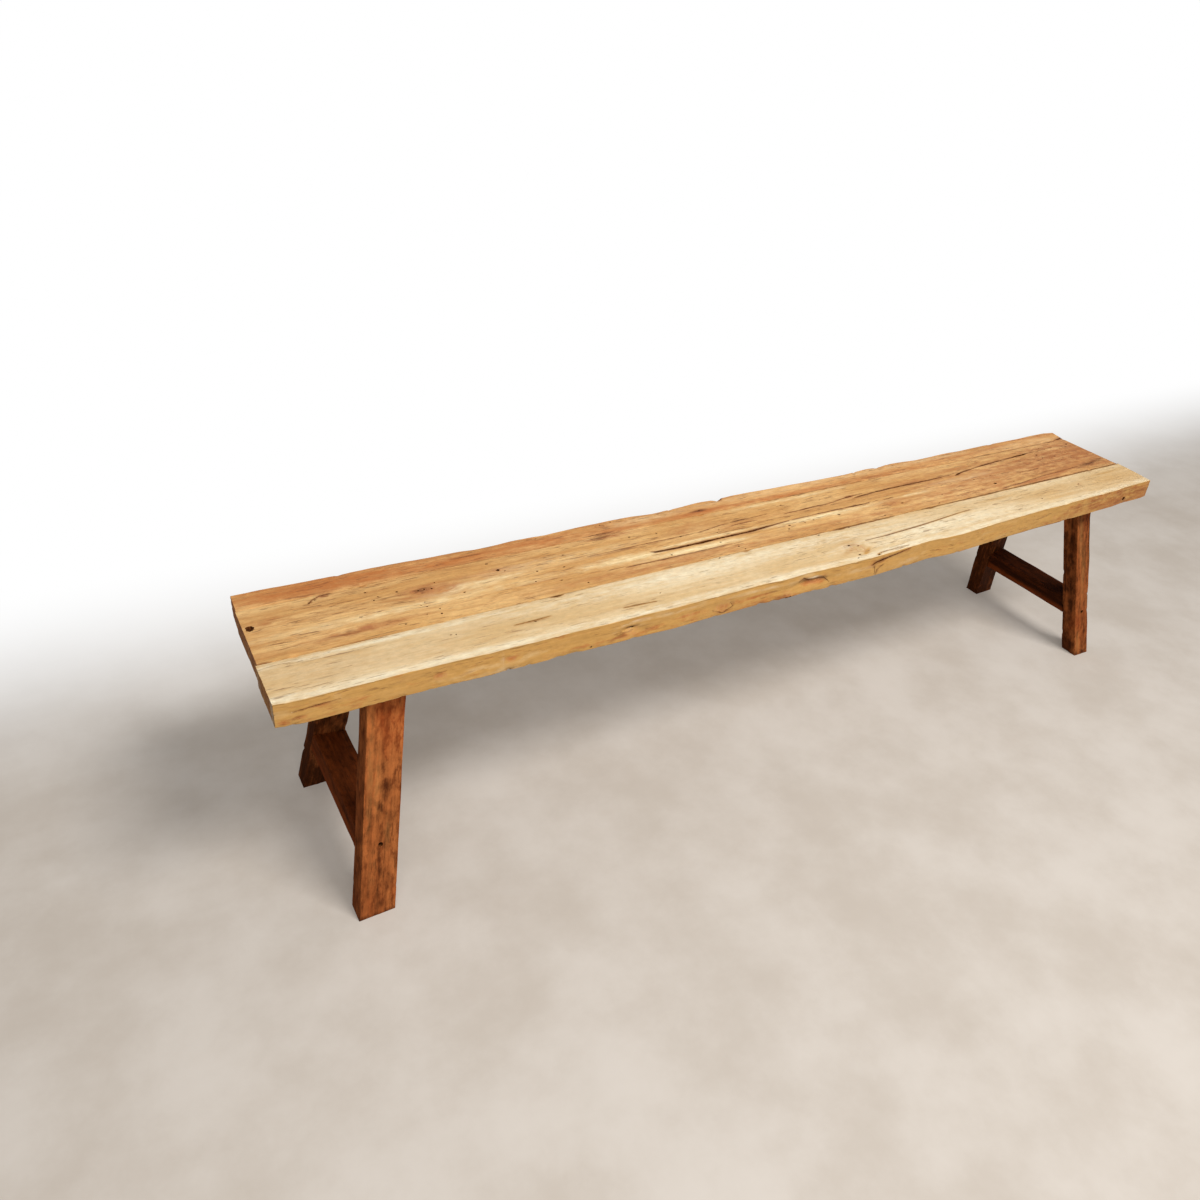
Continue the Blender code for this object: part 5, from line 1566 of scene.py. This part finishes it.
def make_floor():
    """A pale floor that keeps the bench's shadow and turns white behind it."""
    corners = [(x * FLOOR_HALF, y * FLOOR_HALF, 0) for x, y in ((-1, -1), (1, -1), (1, 1), (-1, 1))]
    floor = make_mesh("floor", corners, [(0, 1, 2, 3)])
    n = Nodes("pale_floor")
    place = n.add("TexCoord", output=3)
    distance = n.add("VectorMath", {0: place}, output=1, operation="LENGTH")
    y = n.split(place)[1]
    speck = n.noise(place, (4.0, 4.0, 4.0), 6, 0.62)
    near = n.mix(n.fit(speck, 0.3, 0.7), FLOOR_COLOUR, FLOOR_LIGHT_COLOUR)
    colour = n.mix(n.fit(y, *FLOOR_PALER_Y), near, FLOOR_FAR_COLOUR)
    solid = n.add("BsdfPrincipled", {"Base Color": (*FLOOR_DULL_COLOUR, 1), "Roughness": FLOOR_ROUGHNESS})
    values = {"Base Color": colour, "Roughness": FLOOR_ROUGHNESS, "Specular IOR Level": 0.2}
    shown = n.add("BsdfPrincipled", values)
    lifted = n.add("Emission", {"Color": colour, "Strength": 1.0})
    white = n.add("Emission", {"Color": (1, 1, 1, 1), "Strength": 1.0})
    seen = n.add("MixShader", {0: FLOOR_LIFT, 1: shown, 2: lifted})
    clear = n.math("MAXIMUM", n.fit(distance, *FLOOR_WHITE_DISTANCE), n.fit(y, *FLOOR_WHITE_Y))
    seen = n.add("MixShader", {0: clear, 1: seen, 2: white})
    n.add_output(n.add("MixShader", {0: n.add("LightPath", output=0), 1: solid, 2: seen}))
    dress(floor, (n.material,))


def make_light(name, place, target, size, power):
    lamp = bpy.data.lights.new(name, "AREA")
    lamp.shape = "RECTANGLE"
    lamp.size, lamp.size_y = size
    lamp.energy = power
    lamp.color = LAMP_COLOUR
    item = bpy.data.objects.new(name, lamp)
    bpy.context.scene.collection.objects.link(item)
    item.location = place
    item.rotation_euler = (Vector(target) - Vector(place)).to_track_quat("-Z", "Y").to_euler()


def make_world():
    world = bpy.data.worlds.new("studio")
    bpy.context.scene.world = world
    world.use_nodes = True
    tree = world.node_tree
    tree.nodes.clear()
    path = tree.nodes.new("ShaderNodeLightPath")
    soft = tree.nodes.new("ShaderNodeBackground")
    soft.inputs["Color"].default_value = WORLD_COLOUR
    soft.inputs["Strength"].default_value = WORLD_STRENGTH
    white = tree.nodes.new("ShaderNodeBackground")
    white.inputs["Color"].default_value = (1, 1, 1, 1)
    mix = tree.nodes.new("ShaderNodeMixShader")
    output = tree.nodes.new("ShaderNodeOutputWorld")
    tree.links.new(path.outputs["Is Camera Ray"], mix.inputs[0])
    tree.links.new(soft.outputs[0], mix.inputs[1])
    tree.links.new(white.outputs[0], mix.inputs[2])
    tree.links.new(mix.outputs[0], output.inputs["Surface"])


def make_camera():
    """The photograph's viewing angle: a plain wide lens, slightly above the bench's left front corner."""
    camera = bpy.data.cameras.new("camera")
    camera.sensor_width = SENSOR_WIDTH
    camera.lens = CAMERA_FOCAL_PIXELS / FRAME_PIXELS * SENSOR_WIDTH
    camera.clip_start = 0.05
    camera.clip_end = 100.0
    item = bpy.data.objects.new("camera", camera)
    bpy.context.scene.collection.objects.link(item)
    turn = Vector(CAMERA_TURN)
    to_camera = Matrix.Rotation(turn.length, 3, turn.normalized())
    right, down, ahead = to_camera
    axes = Matrix((right, -down, -ahead)).transposed().to_4x4()
    item.matrix_world = Matrix.Translation(CAMERA_PLACE) @ axes
    bpy.context.scene.camera = item


def main():
    bared = bared_material("bared_wood_and_shade")
    looks = {"board_front": STRAW, "board_middle": GOLDEN, "board_rear": TAN}
    for name, spec in BOARDS.items():
        make_board(name, spec, (wood_material("wood_of_" + name, looks[name]), bared))
    leg_wood = wood_material("leg_wood", LEG)
    rail_wood = wood_material("rail_wood", RAIL)
    plain = {
        "cleat": wood_material("cleat_wood", CLEAT, carried=False),
        "screw": steel_material("screw_steel"),
    }
    for i, (label, spec) in enumerate(TRESTLES.items()):
        trestle = Trestle(label, spec)
        for j, leg in enumerate(trestle.legs):
            make_leg(leg, (leg_wood, bared), LEG_SEED + 20 * i + 10 * j)
        make_stretcher(trestle, (rail_wood,), RAIL_SEED + 10 * i)
    for name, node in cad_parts.items():
        material = plain.get(name.split("_")[0])
        if material:
            node.data.materials.clear()
            node.data.materials.append(material)
    make_floor()
    make_world()
    for name, lamp in LAMPS.items():
        make_light(name, **lamp)
    make_camera()
    bpy.context.scene.view_settings.view_transform = "Standard"


main()
